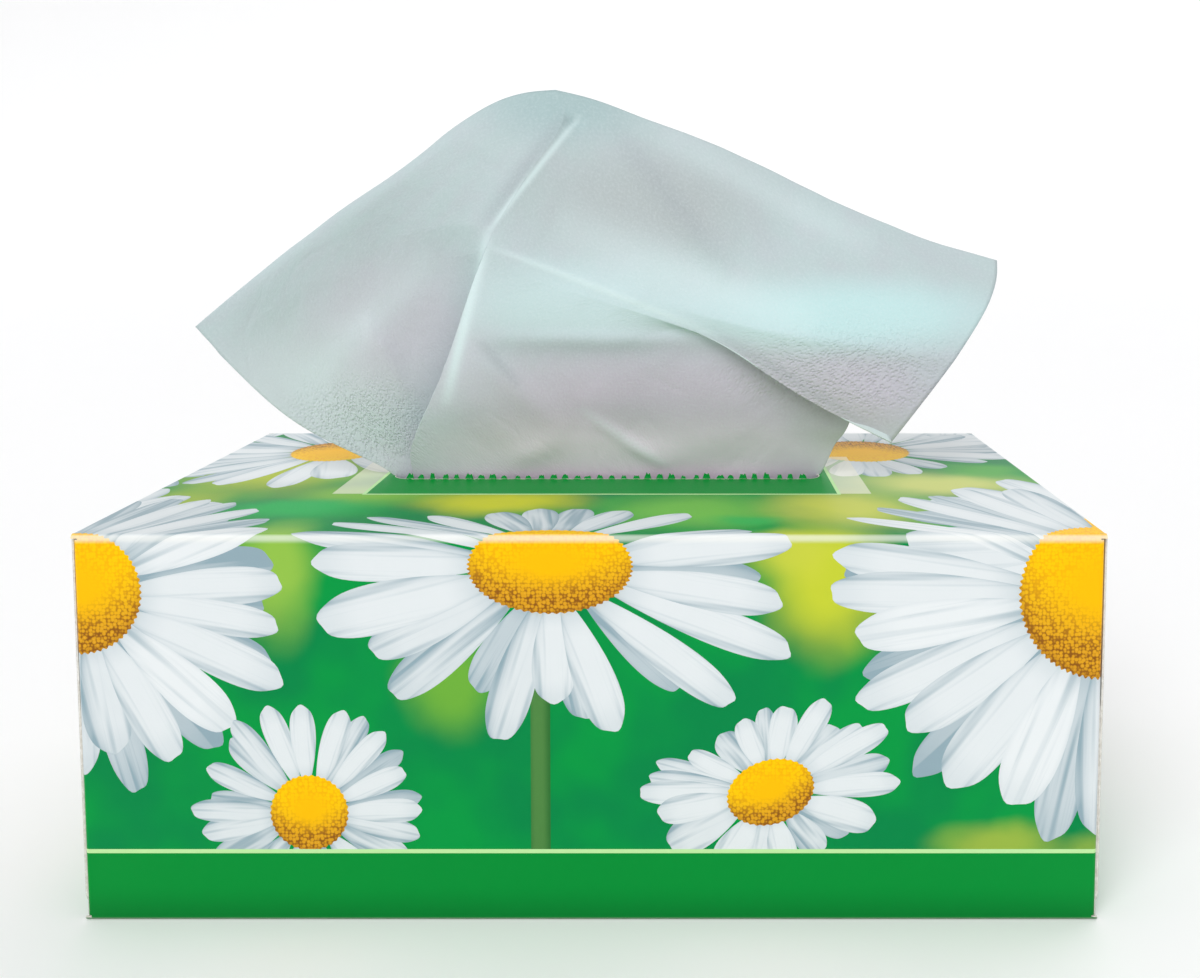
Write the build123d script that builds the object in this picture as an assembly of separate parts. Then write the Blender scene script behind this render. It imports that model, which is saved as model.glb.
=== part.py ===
from build123d import *

import math
import os

# A flat-topped carton of pop-up tissues: a folded and glued paperboard carton with a torn-open
# perforated slot, the block of interfolded tissues inside it, and the leading tissue, which
# stands up through the slot.
#
# Frame: millimetres, +Z up, X along the carton's length, Y from its front to its back.
# The origin is the middle of the carton's underside, on the surface that it stands on.

# ---- carton, outside sizes -------------------------------------------------------------------
carton_length = 230.0  # X
carton_width = 115.0  # Y
carton_height = 89.0  # Z
board = 0.4  # paperboard thickness
fold_radius = 0.9  # outside radius of every crease
layer_gap = 0.05  # air or glue between two layers of board

# ---- carton, flaps ---------------------------------------------------------------------------
seam_flap_height = 14.0  # glue flap, stands up inside the back wall
dust_flap_length = 42.0  # inner end flaps, hinged on the front and back walls
dust_flap_taper = 4.0  # how much narrower a dust flap gets from its crease to its tip, each side
bottom_flap_length = 52.0  # middle end flap, hinged on the bottom
end_flap_gap = 2.0  # from the outer end flap's free edge down to the surface below
flap_side_relief = 0.3  # from a flap's side edge to the start of the crease beside it
flap_corner_radius = 4.0
free_edge_lift = 0.4  # the back wall's free lower edge stays this far off the surface

# ---- glue ------------------------------------------------------------------------------------
seam_glue_height = 8.0
glue_spot_width = 10.0
glue_spot_height = 24.0
glue_spot_offset = 35.0  # from the middle of the end

# ---- dispensing slot, torn open along its perforation ----------------------------------------
slot_length = 115.0
slot_width = 11.0
slot_corner_radius = 4.0
tie_pitch = 3.2  # one uncut tie of the perforation to each step
tie_width = 0.9
tie_reach = 0.45  # how far a torn tie stands into the slot

# ---- tissues ---------------------------------------------------------------------------------
block_end_clearance = 9.0  # from the block to the inner end flaps
block_side_clearance = 4.5  # from the block to the glue flap behind it, and as much in front
block_headspace = 13.0  # from the block up to the inside of the top
block_edge_radius = 2.5  # soft folded edges at the front and the back

# ---- leading tissue --------------------------------------------------------------------------
foot_inset = 4.0  # trailing half, laid on the block this far inside its edges
foot_thickness = 0.5
neck_thickness = 3.0
neck_end_clearance = 3.5  # from the gathered neck to each end of the slot
neck_edge_clearance = 0.35  # from the neck to the torn edge in front of it
neck_rise = 3.0  # the gathered neck runs this far above the carton's top
fan_roundness = 0.49  # end radius of each level section, as a share of its depth
# Fan above the slot: height above the carton's top, middle in X, width in X, depth in Y.
fan_sections = (
    (12.0, -1.5, 153.0, 8.0),
    (28.5, -4.0, 183.0, 16.0),
    (40.5, -7.5, 202.0, 20.0),
    (60.0, 10.0, 186.0, 22.0),
    (75.0, -1.0, 124.0, 18.0),
    (90.0, -7.5, 71.0, 12.0),
    (104.5, -16.0, 16.0, 4.0),
)

# ---- worked out ------------------------------------------------------------------------------
half_length = carton_length / 2
half_width = carton_width / 2
top_flap_face = half_length  # outer face of each end layer, from the outside in
bottom_flap_face = top_flap_face - board - layer_gap
dust_flap_face = bottom_flap_face - board - layer_gap
girth_end = dust_flap_face - fold_radius  # the long panels stop here
corner_end = top_flap_face - board  # and their creases run on to here, which closes the corners
seam_face = half_width - board - layer_gap  # outer face of the glue flap
block_length = 2 * (dust_flap_face - board - block_end_clearance)  # a sheet's width
block_width = 2 * (seam_face - board - block_side_clearance)  # half of a sheet's length
block_top = carton_height - board - block_headspace
neck_length = slot_length - 2 * neck_end_clearance
neck_front = -slot_width / 2 + tie_reach + neck_edge_clearance


def plate(x_low, x_high, y_low, y_high, z_low, z_high):
    """A flat piece of board between two corners."""
    size = (x_high - x_low, y_high - y_low, z_high - z_low)
    middle = ((x_high + x_low) / 2, (y_high + y_low) / 2, (z_high + z_low) / 2)
    return Pos(*middle) * Box(*size)


def quarter_ring(side_u, side_v):
    """The section of a right-angled crease, in the quadrant with these signs about its centre."""
    ring = Circle(fold_radius) - Circle(fold_radius - board)
    quadrant = Pos(side_u * fold_radius / 2, side_v * fold_radius / 2) * Rectangle(
        fold_radius, fold_radius
    )
    return ring & quadrant


def crease(plane, side_u, side_v, length):
    """A crease whose centre line starts at the plane's origin and runs along its normal."""
    return extrude(plane * quarter_ring(side_u, side_v), amount=length)


def along_x(y, z, side_y, side_z, x_low, x_high):
    plane = Plane(origin=(x_low, y, z), x_dir=(0, 1, 0), z_dir=(1, 0, 0))
    return crease(plane, side_y, side_z, x_high - x_low)


def along_y(x, z, side_z, y_half):
    """A crease at the +X end, between a level panel and its end flap."""
    plane = Plane(origin=(x, -y_half, z), x_dir=(1, 0, 0), z_dir=(0, 1, 0))
    return crease(plane, 1, -side_z, 2 * y_half)


def along_z(x, y, side_y, z_low, z_high):
    """A crease at the +X end, between an upright wall and its dust flap."""
    plane = Plane(origin=(x, y, z_low), x_dir=(1, 0, 0), z_dir=(0, 0, 1))
    return crease(plane, 1, side_y, z_high - z_low)


def girth():
    """The four long panels, their creases and the glue flap, which make a tube along X."""
    ends = (-girth_end, girth_end)
    level = half_width - fold_radius
    seam_level = seam_face - fold_radius
    upright = (fold_radius, carton_height - fold_radius)
    tube = plate(*ends, -half_width, -half_width + board, *upright)
    tube += plate(*ends, half_width - board, half_width, free_edge_lift, upright[1])
    tube += plate(*ends, -level, level, carton_height - board, carton_height)
    tube += plate(*ends, -level, seam_level, 0, board)
    tube += plate(*ends, seam_face - board, seam_face, fold_radius, seam_flap_height)
    tube += along_x(-level, upright[1], -1, 1, -corner_end, corner_end)
    tube += along_x(level, upright[1], 1, 1, -corner_end, corner_end)
    tube += along_x(-level, upright[0], -1, -1, -corner_end, corner_end)
    tube += along_x(seam_level, upright[0], 1, -1, *ends)
    glue_low = (fold_radius + seam_flap_height - seam_glue_height) / 2
    glue_high = glue_low + seam_glue_height
    tube += plate(*ends, seam_face, half_width - board, glue_low, glue_high)
    return tube


def torn_slot():
    """The slot's outline, less the ties of the perforation that tore and stand into it."""
    outline = RectangleRounded(slot_length, slot_width, slot_corner_radius)
    straight = slot_length - 2 * slot_corner_radius
    count = math.floor(straight / tie_pitch)
    for index in range(count + 1):
        x = (index - count / 2) * tie_pitch
        for side in (-1, 1):
            y = side * (slot_width - tie_reach) / 2
            outline -= Pos(x, y) * Rectangle(tie_width, tie_reach)
    for side in (-1, 1):
        x = side * (slot_length - tie_reach) / 2
        outline -= Pos(x, 0) * Rectangle(tie_reach, tie_width)
    return extrude(Plane.XY.offset(carton_height - 2 * board) * outline, amount=3 * board)


def rounded_flap(face, y_half, z_free, z_hinge):
    """A flap that fills an end from its crease to its free edge, with round free corners."""
    flap = plate(face - board, face, -y_half, y_half, min(z_free, z_hinge), max(z_free, z_hinge))
    corners = flap.edges().filter_by(Axis.X).group_by(Axis.Z)[0 if z_free < z_hinge else -1]
    return fillet(corners, flap_corner_radius)


def dust_flap(side):
    """An inner end flap on the front (-1) or back (1) wall, tapered towards its tip."""
    low = fold_radius + flap_side_relief
    high = carton_height - low
    root = half_width - fold_radius
    tip = root - dust_flap_length
    outline = Polyline(
        (side * root, low),
        (side * root, high),
        (side * tip, high - dust_flap_taper),
        (side * tip, low + dust_flap_taper),
        close=True,
    )
    plane = Plane(origin=(dust_flap_face - board, 0, 0), x_dir=(0, 1, 0), z_dir=(1, 0, 0))
    flap = extrude(plane * make_face(outline), amount=board)
    flap += along_z(girth_end, side * root, side, low, high)
    return flap


def carton_end():
    """The +X end: two dust flaps, the bottom flap over them, and the top flap outermost."""
    flap_half = half_width - fold_radius - flap_side_relief
    end = dust_flap(-1) + dust_flap(1)

    bottom_hinge = bottom_flap_face - fold_radius
    end += plate(girth_end, bottom_hinge, -flap_half, flap_half, 0, board)
    end += along_y(bottom_hinge, fold_radius, -1, flap_half)
    end += rounded_flap(bottom_flap_face, flap_half, bottom_flap_length, fold_radius)

    top_hinge = top_flap_face - fold_radius
    under_top = carton_height - fold_radius
    lid = (carton_height - board, carton_height)
    end += plate(girth_end, top_hinge, -flap_half, flap_half, *lid)
    end += along_y(top_hinge, under_top, 1, flap_half)
    end += rounded_flap(top_flap_face, flap_half, end_flap_gap, under_top)

    z_low = (bottom_flap_length - glue_spot_height) / 2
    for side in (-1, 1):
        y_middle = side * glue_spot_offset
        spot = (y_middle - glue_spot_width / 2, y_middle + glue_spot_width / 2)
        spot += (z_low, z_low + glue_spot_height)
        end += plate(bottom_flap_face, top_flap_face - board, *spot)
        end += plate(dust_flap_face, bottom_flap_face - board, *spot)
    return end


def carton():
    end = carton_end()
    return girth() + end + mirror(end, about=Plane.YZ) - torn_slot()


def tissue_block():
    """The interfolded tissues as one block, soft along its two folded sides."""
    x_half, y_half = block_length / 2, block_width / 2
    block = plate(-x_half, x_half, -y_half, y_half, board, block_top)
    return fillet(block.edges().filter_by(Axis.X), block_edge_radius)


def fan_outline(width, depth):
    """A level section of the fan, with nearly round ends."""
    return RectangleRounded(width, depth, depth * fan_roundness)


def leading_tissue():
    """The tissue that stands up: trailing half on the block, gathered neck, and open fan."""
    neck_middle = neck_front + neck_thickness / 2
    neck_top = carton_height + neck_rise
    foot_top = block_top + foot_thickness
    foot_x, foot_y = block_length / 2 - foot_inset, block_width / 2 - foot_inset
    neck_x, neck_back = neck_length / 2, neck_front + neck_thickness
    foot = plate(-foot_x, foot_x, -foot_y, foot_y, block_top, foot_top)
    neck = plate(-neck_x, neck_x, neck_front, neck_back, foot_top, neck_top)
    root = Plane.XY.offset(neck_top) * Pos(0, neck_middle)
    sections = [root * fan_outline(neck_length, neck_thickness)]
    for height, middle, width, depth in fan_sections:
        level = Plane.XY.offset(carton_height + height)
        sections.append(level * Pos(middle, neck_middle) * fan_outline(width, depth))
    return foot + neck + loft(sections, ruled=True)


os.makedirs("parts", exist_ok=True)
export_step(carton(), "parts/carton.step")
export_step(tissue_block(), "parts/tissue_block.step")
export_step(leading_tissue(), "parts/leading_tissue.step")
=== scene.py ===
"""The looks of a carton of pop-up tissues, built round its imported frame.

Every shape is a surface worked out in millimetres and put into its mesh in metres. The print is
laid out flat on the carton's blank and then folded round the carton.

Blank coordinates, in millimetres: u runs along the carton's length, from its middle; v runs round
the carton from the crease between the top and the front, down the front when positive and back
over the top when negative.
"""

import math

import bpy
import numpy as np
from bpy.props import FloatProperty, FloatVectorProperty, IntProperty, PointerProperty
from bpy.types import Operator, Panel, PropertyGroup
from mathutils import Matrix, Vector
from mathutils.geometry import delaunay_2d_cdt


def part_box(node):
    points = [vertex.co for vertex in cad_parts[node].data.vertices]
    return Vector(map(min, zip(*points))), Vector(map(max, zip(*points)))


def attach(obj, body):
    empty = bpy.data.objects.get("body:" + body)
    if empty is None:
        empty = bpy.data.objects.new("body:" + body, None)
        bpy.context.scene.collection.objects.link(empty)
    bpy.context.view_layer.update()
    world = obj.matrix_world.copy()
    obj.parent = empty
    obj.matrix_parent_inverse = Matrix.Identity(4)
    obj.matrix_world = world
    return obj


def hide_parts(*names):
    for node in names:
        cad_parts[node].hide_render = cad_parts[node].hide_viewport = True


bl_info = {
    "name": "Tissue box",
    "version": (1, 0, 0),
    "blender": (4, 5, 0),
    "location": "View3D > Sidebar > Tissue box",
    "description": "Builds the print, the tissues and the studio round a carton of pop-up tissues",
    "category": "Add Mesh",
}

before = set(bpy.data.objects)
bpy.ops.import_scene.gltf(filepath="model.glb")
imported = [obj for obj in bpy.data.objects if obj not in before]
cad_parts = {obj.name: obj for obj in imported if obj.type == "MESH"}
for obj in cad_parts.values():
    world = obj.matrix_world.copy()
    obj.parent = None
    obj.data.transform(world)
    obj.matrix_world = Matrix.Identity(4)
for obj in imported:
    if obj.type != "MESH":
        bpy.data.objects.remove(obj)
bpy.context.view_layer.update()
MM = 0.001
BODY = "root"

# ---- the carton, in millimetres, read from the frame and the board's own sizes ---------------
CARTON_LOW, CARTON_HIGH = (np.array(corner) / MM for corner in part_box("carton"))
BLOCK_LOW, BLOCK_HIGH = (np.array(corner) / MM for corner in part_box("tissue_block"))
LENGTH, WIDTH, HEIGHT = CARTON_HIGH - CARTON_LOW
HALF_LENGTH, HALF_WIDTH = LENGTH / 2, WIDTH / 2
BOARD = 0.4
LAYER_GAP = 0.05
FOLD_RADIUS = 0.9
FLAP_RELIEF = 0.3
LAYER = BOARD + LAYER_GAP
GIRTH_END = HALF_LENGTH - 2 * LAYER - FOLD_RADIUS
FLAP_HALF = HALF_WIDTH - FOLD_RADIUS - FLAP_RELIEF
END_FLAP_GAP = 2.0
FLAP_CORNER = 4.0
FREE_EDGE = 0.4
DUST_ROOT, BOTTOM_ROOT = 2.5, 5.0  # the inner flaps are printed this far past their creases
SLOT_LENGTH, SLOT_WIDTH, SLOT_CORNER = 115.0, 11.0, 4.0
TIE_PITCH, TIE_WIDTH = 3.2, 0.9
TIE_COLUMNS, TIE_ROWS = 6, 5  # points across and along a torn tie
TIE_ROOT, TIE_THICKNESS = 0.35, 0.2  # TIE_ROOT is how far its root lies on the board
TIE_STEPS = math.floor((SLOT_LENGTH - 2 * SLOT_CORNER) / TIE_PITCH)
TIE_PLACES = (np.arange(TIE_STEPS + 1) - TIE_STEPS / 2) * TIE_PITCH  # along the slot

# Creases in v, and where each panel ends in v.
TOP_FRONT, TOP_BACK = 0.0, -WIDTH
FRONT_BOTTOM = HEIGHT
BOTTOM_BACK = HEIGHT + WIDTH - LAYER
BACK_END = TOP_BACK - HEIGHT + FREE_EDGE
CREASE_STEPS = np.linspace(-FOLD_RADIUS, FOLD_RADIUS, 7)
CORNER_CREASES = np.array([TOP_FRONT, TOP_BACK, FRONT_BOTTOM])  # these run on into the corners


# ---- shader helper ---------------------------------------------------------------------------
class Wire:
    """An output socket whose arithmetic adds Math nodes to the same tree."""

    def __init__(self, shader, socket):
        self.shader, self.socket = shader, socket

    def math(self, operation, *others):
        """A Math node fed with this value and the others, in that order."""
        values = dict(enumerate((self, *others)))
        return self.shader.node("ShaderNodeMath", {"operation": operation}, values)

    def __add__(self, other):
        return self.math("ADD", other)

    def __sub__(self, other):
        return self.math("SUBTRACT", other)

    def __rsub__(self, other):
        return self.shader.node("ShaderNodeMath", {"operation": "SUBTRACT"}, {0: other, 1: self})

    def __mul__(self, other):
        return self.math("MULTIPLY", other)

    def __truediv__(self, other):
        return self.math("DIVIDE", other)

    def __pow__(self, other):
        return self.math("POWER", other)

    def ramp(self, low, high):
        """Smoothly from 0 at low to 1 at high, which may be the smaller."""
        settings = {"interpolation_type": "SMOOTHSTEP"}
        values = {"Value": self, "From Min": low, "From Max": high}
        return self.shader.node("ShaderNodeMapRange", settings, values)


class Shader:
    """A material under construction."""

    def __init__(self, name):
        self.material = bpy.data.materials.new(name)
        self.material.use_nodes = True
        self.tree = self.material.node_tree
        self.tree.nodes.clear()

    def node(self, kind, settings=None, values=None, output=0):
        """Adds a node, sets it up, feeds its sockets and returns the asked output."""
        made = self.tree.nodes.new(kind)
        for key, value in (settings or {}).items():
            setattr(made, key, value)
        for key, value in (values or {}).items():
            socket = made.inputs[key]
            if isinstance(value, Wire):
                self.tree.links.new(value.socket, socket)
            else:
                socket.default_value = value
        return Wire(self, made.outputs[output])

    def mix(self, factor, first, second):
        """The second colour over the first, as far as factor says."""
        values = {0: factor, 6: first, 7: second}
        return self.node("ShaderNodeMix", {"data_type": "RGBA"}, values, output=2)

    def uv(self, name):
        """The two coordinates of a UV map, and the map itself."""
        vector = self.node("ShaderNodeUVMap", {"uv_map": name})
        parts = self.node("ShaderNodeSeparateXYZ", None, {0: vector})
        second = Wire(self, parts.socket.node.outputs[1])
        return parts, second, vector

    def attribute(self, name):
        """One number that the mesh carries under this name."""
        return self.node("ShaderNodeAttribute", {"attribute_name": name}, output="Fac")

    def place(self):
        """Where the point stands in its object, in metres."""
        return self.node("ShaderNodeTexCoord", output="Object")

    def length(self, vector):
        """How long the vector is."""
        return self.node("ShaderNodeVectorMath", {"operation": "LENGTH"}, {0: vector}, output="Value")

    def noise(self, vector, scale, detail=2.0, roughness=0.5):
        """Soft noise of about 0 to 1, with as many blobs to each unit as scale says."""
        values = {"Vector": vector, "Scale": scale, "Detail": detail, "Roughness": roughness}
        return self.node("ShaderNodeTexNoise", None, values)

    def stretch(self, vector, factors, shift=(0.0, 0.0, 0.0)):
        """The vector times the factors, plus the shift."""
        settings = {"operation": "MULTIPLY_ADD"}
        return self.node("ShaderNodeVectorMath", settings, {0: vector, 1: factors, 2: shift})

    def spot(self, vector, centre, reach):
        """A soft round mask: 1 near the centre and 0 a third past the reach along each axis."""
        factors = tuple(1 / size for size in reach)
        local = self.stretch(vector, factors, tuple(-at / size for at, size in zip(centre, reach)))
        return self.length(local).ramp(1.35, 0.25)

    def bump(self, height, distance, strength=1.0):
        """A relief whose height of 1 stands for the distance, in metres."""
        values = {"Height": height, "Distance": distance, "Strength": strength}
        return self.node("ShaderNodeBump", None, values)

    def finish(self, **sockets):
        """The material, ended by a Principled surface with these sockets, _ for each space."""
        values = {name.replace("_", " "): value for name, value in sockets.items()}
        surface = self.node("ShaderNodeBsdfPrincipled", None, values)
        made = self.tree.nodes.new("ShaderNodeOutputMaterial")
        self.tree.links.new(surface.socket, made.inputs["Surface"])
        return self.material


def rgb(red, green, blue):
    """A colour given as it looks on a screen, 0 to 255, made linear."""
    screen = np.array([red, green, blue]) / 255
    linear = np.where(screen <= 0.04045, screen / 12.92, ((screen + 0.055) / 1.055) ** 2.4)
    return (*linear.tolist(), 1.0)


# ---- folding the blank -----------------------------------------------------------------------
# Each crease round the girth: its v, the sharp corner (y, z), and the directions (y, z) in which v
# runs before and after it.
CREASES = [
    (at, np.array(corner), np.array(way_in), np.array(way_out))
    for at, corner, way_in, way_out in (
        (TOP_BACK, (HALF_WIDTH, HEIGHT), (0.0, 1.0), (-1.0, 0.0)),
        (TOP_FRONT, (-HALF_WIDTH, HEIGHT), (-1.0, 0.0), (0.0, -1.0)),
        (FRONT_BOTTOM, (-HALF_WIDTH, 0.0), (0.0, -1.0), (1.0, 0.0)),
        (BOTTOM_BACK, (HALF_WIDTH - LAYER, 0.0), (1.0, 0.0), (0.0, 1.0)),
    )
]


def fold_girth(v):
    """Where the girth line at v stands, as (y, z), and its outward normal.

    Between creases the point runs straight from the crease before it. Within a fold radius R of a
    crease it follows a quarter circle about the corner less R of the way in and plus R of the way
    out: centre + R (in sin a - out cos a), where a goes from 0 to 90 degrees.
    """
    at, corner, way_in, way_out = CREASES[0]
    point = corner + (v[:, None] - at) * way_in
    normal = np.tile(-way_out, (len(v), 1))
    for at, corner, way_in, way_out in CREASES:
        after = v > at
        point[after] = corner + (v[after, None] - at) * way_out
        normal[after] = way_in
    for at, corner, way_in, way_out in CREASES:
        bent = np.abs(v - at) < FOLD_RADIUS
        angle = (v[bent, None] - at + FOLD_RADIUS) / FOLD_RADIUS * math.pi / 4
        centre = corner - FOLD_RADIUS * way_in + FOLD_RADIUS * way_out
        normal[bent] = way_in * np.sin(angle) - way_out * np.cos(angle)
        point[bent] = centre + FOLD_RADIUS * normal[bent]
    return point, normal


def end_crease(v):
    """How far from the middle the end crease of the panel at v lies: each layer is further in."""
    on_top = (v >= TOP_BACK) & (v <= TOP_FRONT)
    on_bottom = (v >= FRONT_BOTTOM) & (v <= BOTTOM_BACK)
    return np.where(on_top, HALF_LENGTH, HALF_LENGTH - np.where(on_bottom, 1, 2) * LAYER)


def fold(u, v, lift):
    """Points and normals of the folded blank, lift above its outer face.

    Along the length the point runs straight to the end crease, turns a quarter circle there, and
    then runs straight in against the panel's normal, which makes the end flap. The long creases
    run straight on, into the corners.
    """
    girth, girth_normal = fold_girth(v)
    side = np.sign(u)
    past = np.abs(u) - end_crease(v)
    on_crease = np.abs(v[:, None] - CORNER_CREASES).min(axis=1) <= FOLD_RADIUS + 1e-6
    past[on_crease] = -FOLD_RADIUS
    angle = np.clip((past + FOLD_RADIUS) / FOLD_RADIUS, 0, 2) * math.pi / 4
    sine, cosine = np.sin(angle), np.cos(angle)
    bent = np.abs(past) < FOLD_RADIUS
    reach = np.abs(u) - FOLD_RADIUS - past
    along = np.where(past <= -FOLD_RADIUS, np.abs(u), reach + FOLD_RADIUS * sine)
    depth = np.where(bent, FOLD_RADIUS * (1 - cosine), np.where(past > 0, past, 0.0))
    normal = np.column_stack([side * sine, girth_normal * cosine[:, None]])
    point = np.column_stack([side * along, girth - girth_normal * depth[:, None]])
    return point + lift * normal, normal


# ---- flat outlines on the blank --------------------------------------------------------------
def rectangle(u_low, u_high, v_low, v_high):
    """The corners of an upright rectangle, in order."""
    return np.array([(u_low, v_low), (u_high, v_low), (u_high, v_high), (u_low, v_high)])


def ellipse(at, radii, turn, count, scallops, depth):
    """A closed curve r(a) = 1 + depth cos(scallops a), scaled to the radii, turned and placed."""
    a = np.linspace(0, 2 * math.pi, count, endpoint=False)
    r = 1 + depth * np.cos(scallops * a)
    local = np.column_stack([r * np.cos(a) * radii[0], r * np.sin(a) * radii[1]])
    cosine, sine = math.cos(turn), math.sin(turn)
    return np.array(at) + local @ np.array([(cosine, sine), (-sine, cosine)])


PETAL_ROUNDNESS = 0.48
PETAL_NOTCH = 0.011  # depth of the lobes at a petal's end, as a share of its length
PETAL_ROOT = 0.72  # a petal starts this share of the disc's radius from its middle
DISC_SCALLOPS, SCALLOP_DEPTH = 2.2, 0.018  # how many to a millimetre of both radii, and how deep


def petal_half_width(p):
    """Half a petal's width at p of its length, for a petal one unit wide at its widest.

    4p(1-p) to the power of its roundness rounds both ends, and 0.5 + 0.78p narrows it towards
    the disc.
    """
    return 0.5 * (4 * p * (1 - p)) ** PETAL_ROUNDNESS * (0.5 + 0.78 * p)


def petal_outline(root, tip, width):
    """A petal from its root to its tip, with a lobed end, and the frame that it is drawn in."""
    a = np.linspace(0, 2 * math.pi, 52, endpoint=False)
    p = (1 - np.cos(a)) / 2
    side = np.sign(np.sin(a)) * petal_half_width(np.clip(p, 0, 1))
    lobes = np.cos(13 * side + tip[0] + 2 * tip[1])
    p = p + PETAL_NOTCH * (lobes - 0.6) * np.clip((p - 0.8) / 0.2, 0, 1)
    root, tip = np.array(root), np.array(tip)
    along = tip - root
    across = np.array([-along[1], along[0]]) / np.linalg.norm(along) * width
    return root + p[:, None] * along + side[:, None] * across, (root, along, across)


# ---- what is printed -------------------------------------------------------------------------
# A daisy: its middle on the blank, its disc's radii and turn, which way along v its disc is
# shaded, and its petals as (tip u, tip v, width, shade), where shade 1 lies behind its neighbours.
FRONT_DAISIES = (
    ((-113.5, 13.0), (14.0, 14.0, 0.0), 1, (
        (-115, -29, 8, 0.5), (-105, -31, 8, 0.5), (-97, -30, 8, 0.1), (-89, -27, 8, 0.3),
        (-81, -21, 8, 0.1), (-75, -12, 8, 0.5), (-72.5, -4, 9, 0.0), (-70, 6, 10, 0.9),
        (-68, 11, 9, 0.1), (-72, 16, 8, 1.0), (-69, 21, 8, 0.1), (-71, 29, 8, 0.8),
        (-68.5, 34, 10, 0.1), (-83, 48.5, 10, 0.9), (-80, 44, 11, 0.0), (-93, 51.5, 10, 0.1),
        (-101.5, 59, 9, 0.7), (-106.5, 50, 11, 0.2), (-114.5, 55, 10, 0.3),
    )),
    ((-8.7, 7.2), (18.2, 10.6, 0.0), 1, (
        (-66, -1, 6, 0.3), (-60, -9, 5, 0.1), (-61.5, 6, 9, 0.1), (-60.5, 20, 12, 0.1),
        (-49, 26.5, 10, 0.2), (-44.5, 36.5, 10, 0.3), (-25.5, 35.5, 9, 0.7), (-21, 47, 10, 0.2),
        (-8, 38.5, 10, 0.1), (-1, 42, 9, 0.3), (5.5, 45, 10, 0.1), (20.5, 35, 8, 0.8),
        (32, 38.5, 9, 0.1), (45, 27, 9, 0.1), (43, 15.5, 9, 0.1), (38, 10, 8, 0.8),
        (45, 1.5, 8, 0.1), (36, -2.5, 6, 0.4), (22.5, -16.5, 8, 0.1), (7.5, -19.5, 9, 0.2),
        (-3.5, -21.5, 9, 0.5), (-14, -21.5, 9, 0.3), (-24, -18, 9, 0.3), (-39, -15, 6, 0.1),
        (-53, -14, 5, 0.3),
    )),
    ((114.0, 13.5), (18.5, 19.2, 0.0), 1, (
        (59, -13.5, 6, 0.0), (67, -22, 7, 0.5), (74.5, -32, 9, 0.1), (83, -34, 8, 0.6),
        (91, -41, 10, 0.1), (105.5, -41, 12, 0.2), (54, 4.5, 9, 0.1), (56, 8, 8, 0.9),
        (53, 13, 10, 0.1), (59, 23, 11, 0.0), (61, 32, 10, 1.0), (59.5, 38.5, 10, 0.1),
        (70.5, 44, 11, 0.1), (72.5, 55, 10, 0.9), (80, 57.5, 13, 0.1), (94.5, 62, 13, 0.0),
        (103, 70.5, 11, 0.6), (114, 69, 11, 0.2),
    )),
    ((-63.3, 63.7), (8.7, 8.7, 0.0), 1, (
        (-86, 53, 5.5, 0.2), (-80.5, 46.5, 6.5, 0.4), (-80, 42.5, 5.5, 0.2), (-72.5, 39, 6, 0.1),
        (-64.7, 38.7, 6, 0.1), (-55, 40, 6, 0.1), (-50.3, 41.5, 5.5, 0.3), (-46, 45, 5.5, 0.1),
        (-42, 49.5, 5, 0.8), (-41.5, 54, 5.5, 0.1), (-38, 60, 5, 0.8), (-38, 63, 6, 0.1),
        (-38.5, 69, 5.5, 0.2), (-41, 75, 7, 0.3), (-48, 82, 7, 0.2), (-58, 86, 7, 0.3),
        (-69, 86, 7, 0.2), (-78, 81, 7, 0.3), (-85, 75, 6.5, 0.5), (-87.5, 68.5, 6, 0.2),
        (-90, 63, 5.5, 0.2), (-85.5, 60, 4.5, 0.5),
    )),
    ((40.4, 58.9), (10.0, 7.4, -20.0), 1, (
        (14.7, 52, 4.5, 0.2), (22, 50, 5, 0.1), (13, 55.5, 5, 0.2), (10.8, 59, 6, 0.1),
        (15, 64, 7, 0.1), (17.5, 71.5, 9, 0.2), (29, 45.5, 7, 0.3), (34, 42, 6, 0.1),
        (39, 39.3, 5, 0.3), (44, 39, 6.5, 0.1), (53, 37.5, 6, 0.1), (55.5, 44, 7, 0.3),
        (61, 43.5, 5, 0.2), (66.5, 43.8, 6, 0.1), (67, 51.5, 6, 0.4), (69.5, 56.5, 6, 0.1),
        (64, 66, 8, 0.1), (58, 68.5, 6, 0.8), (52, 73, 7, 0.3), (44, 77, 7, 0.1),
        (37, 78, 7, 0.2), (29, 77, 8, 0.1),
    )),
)
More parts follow.
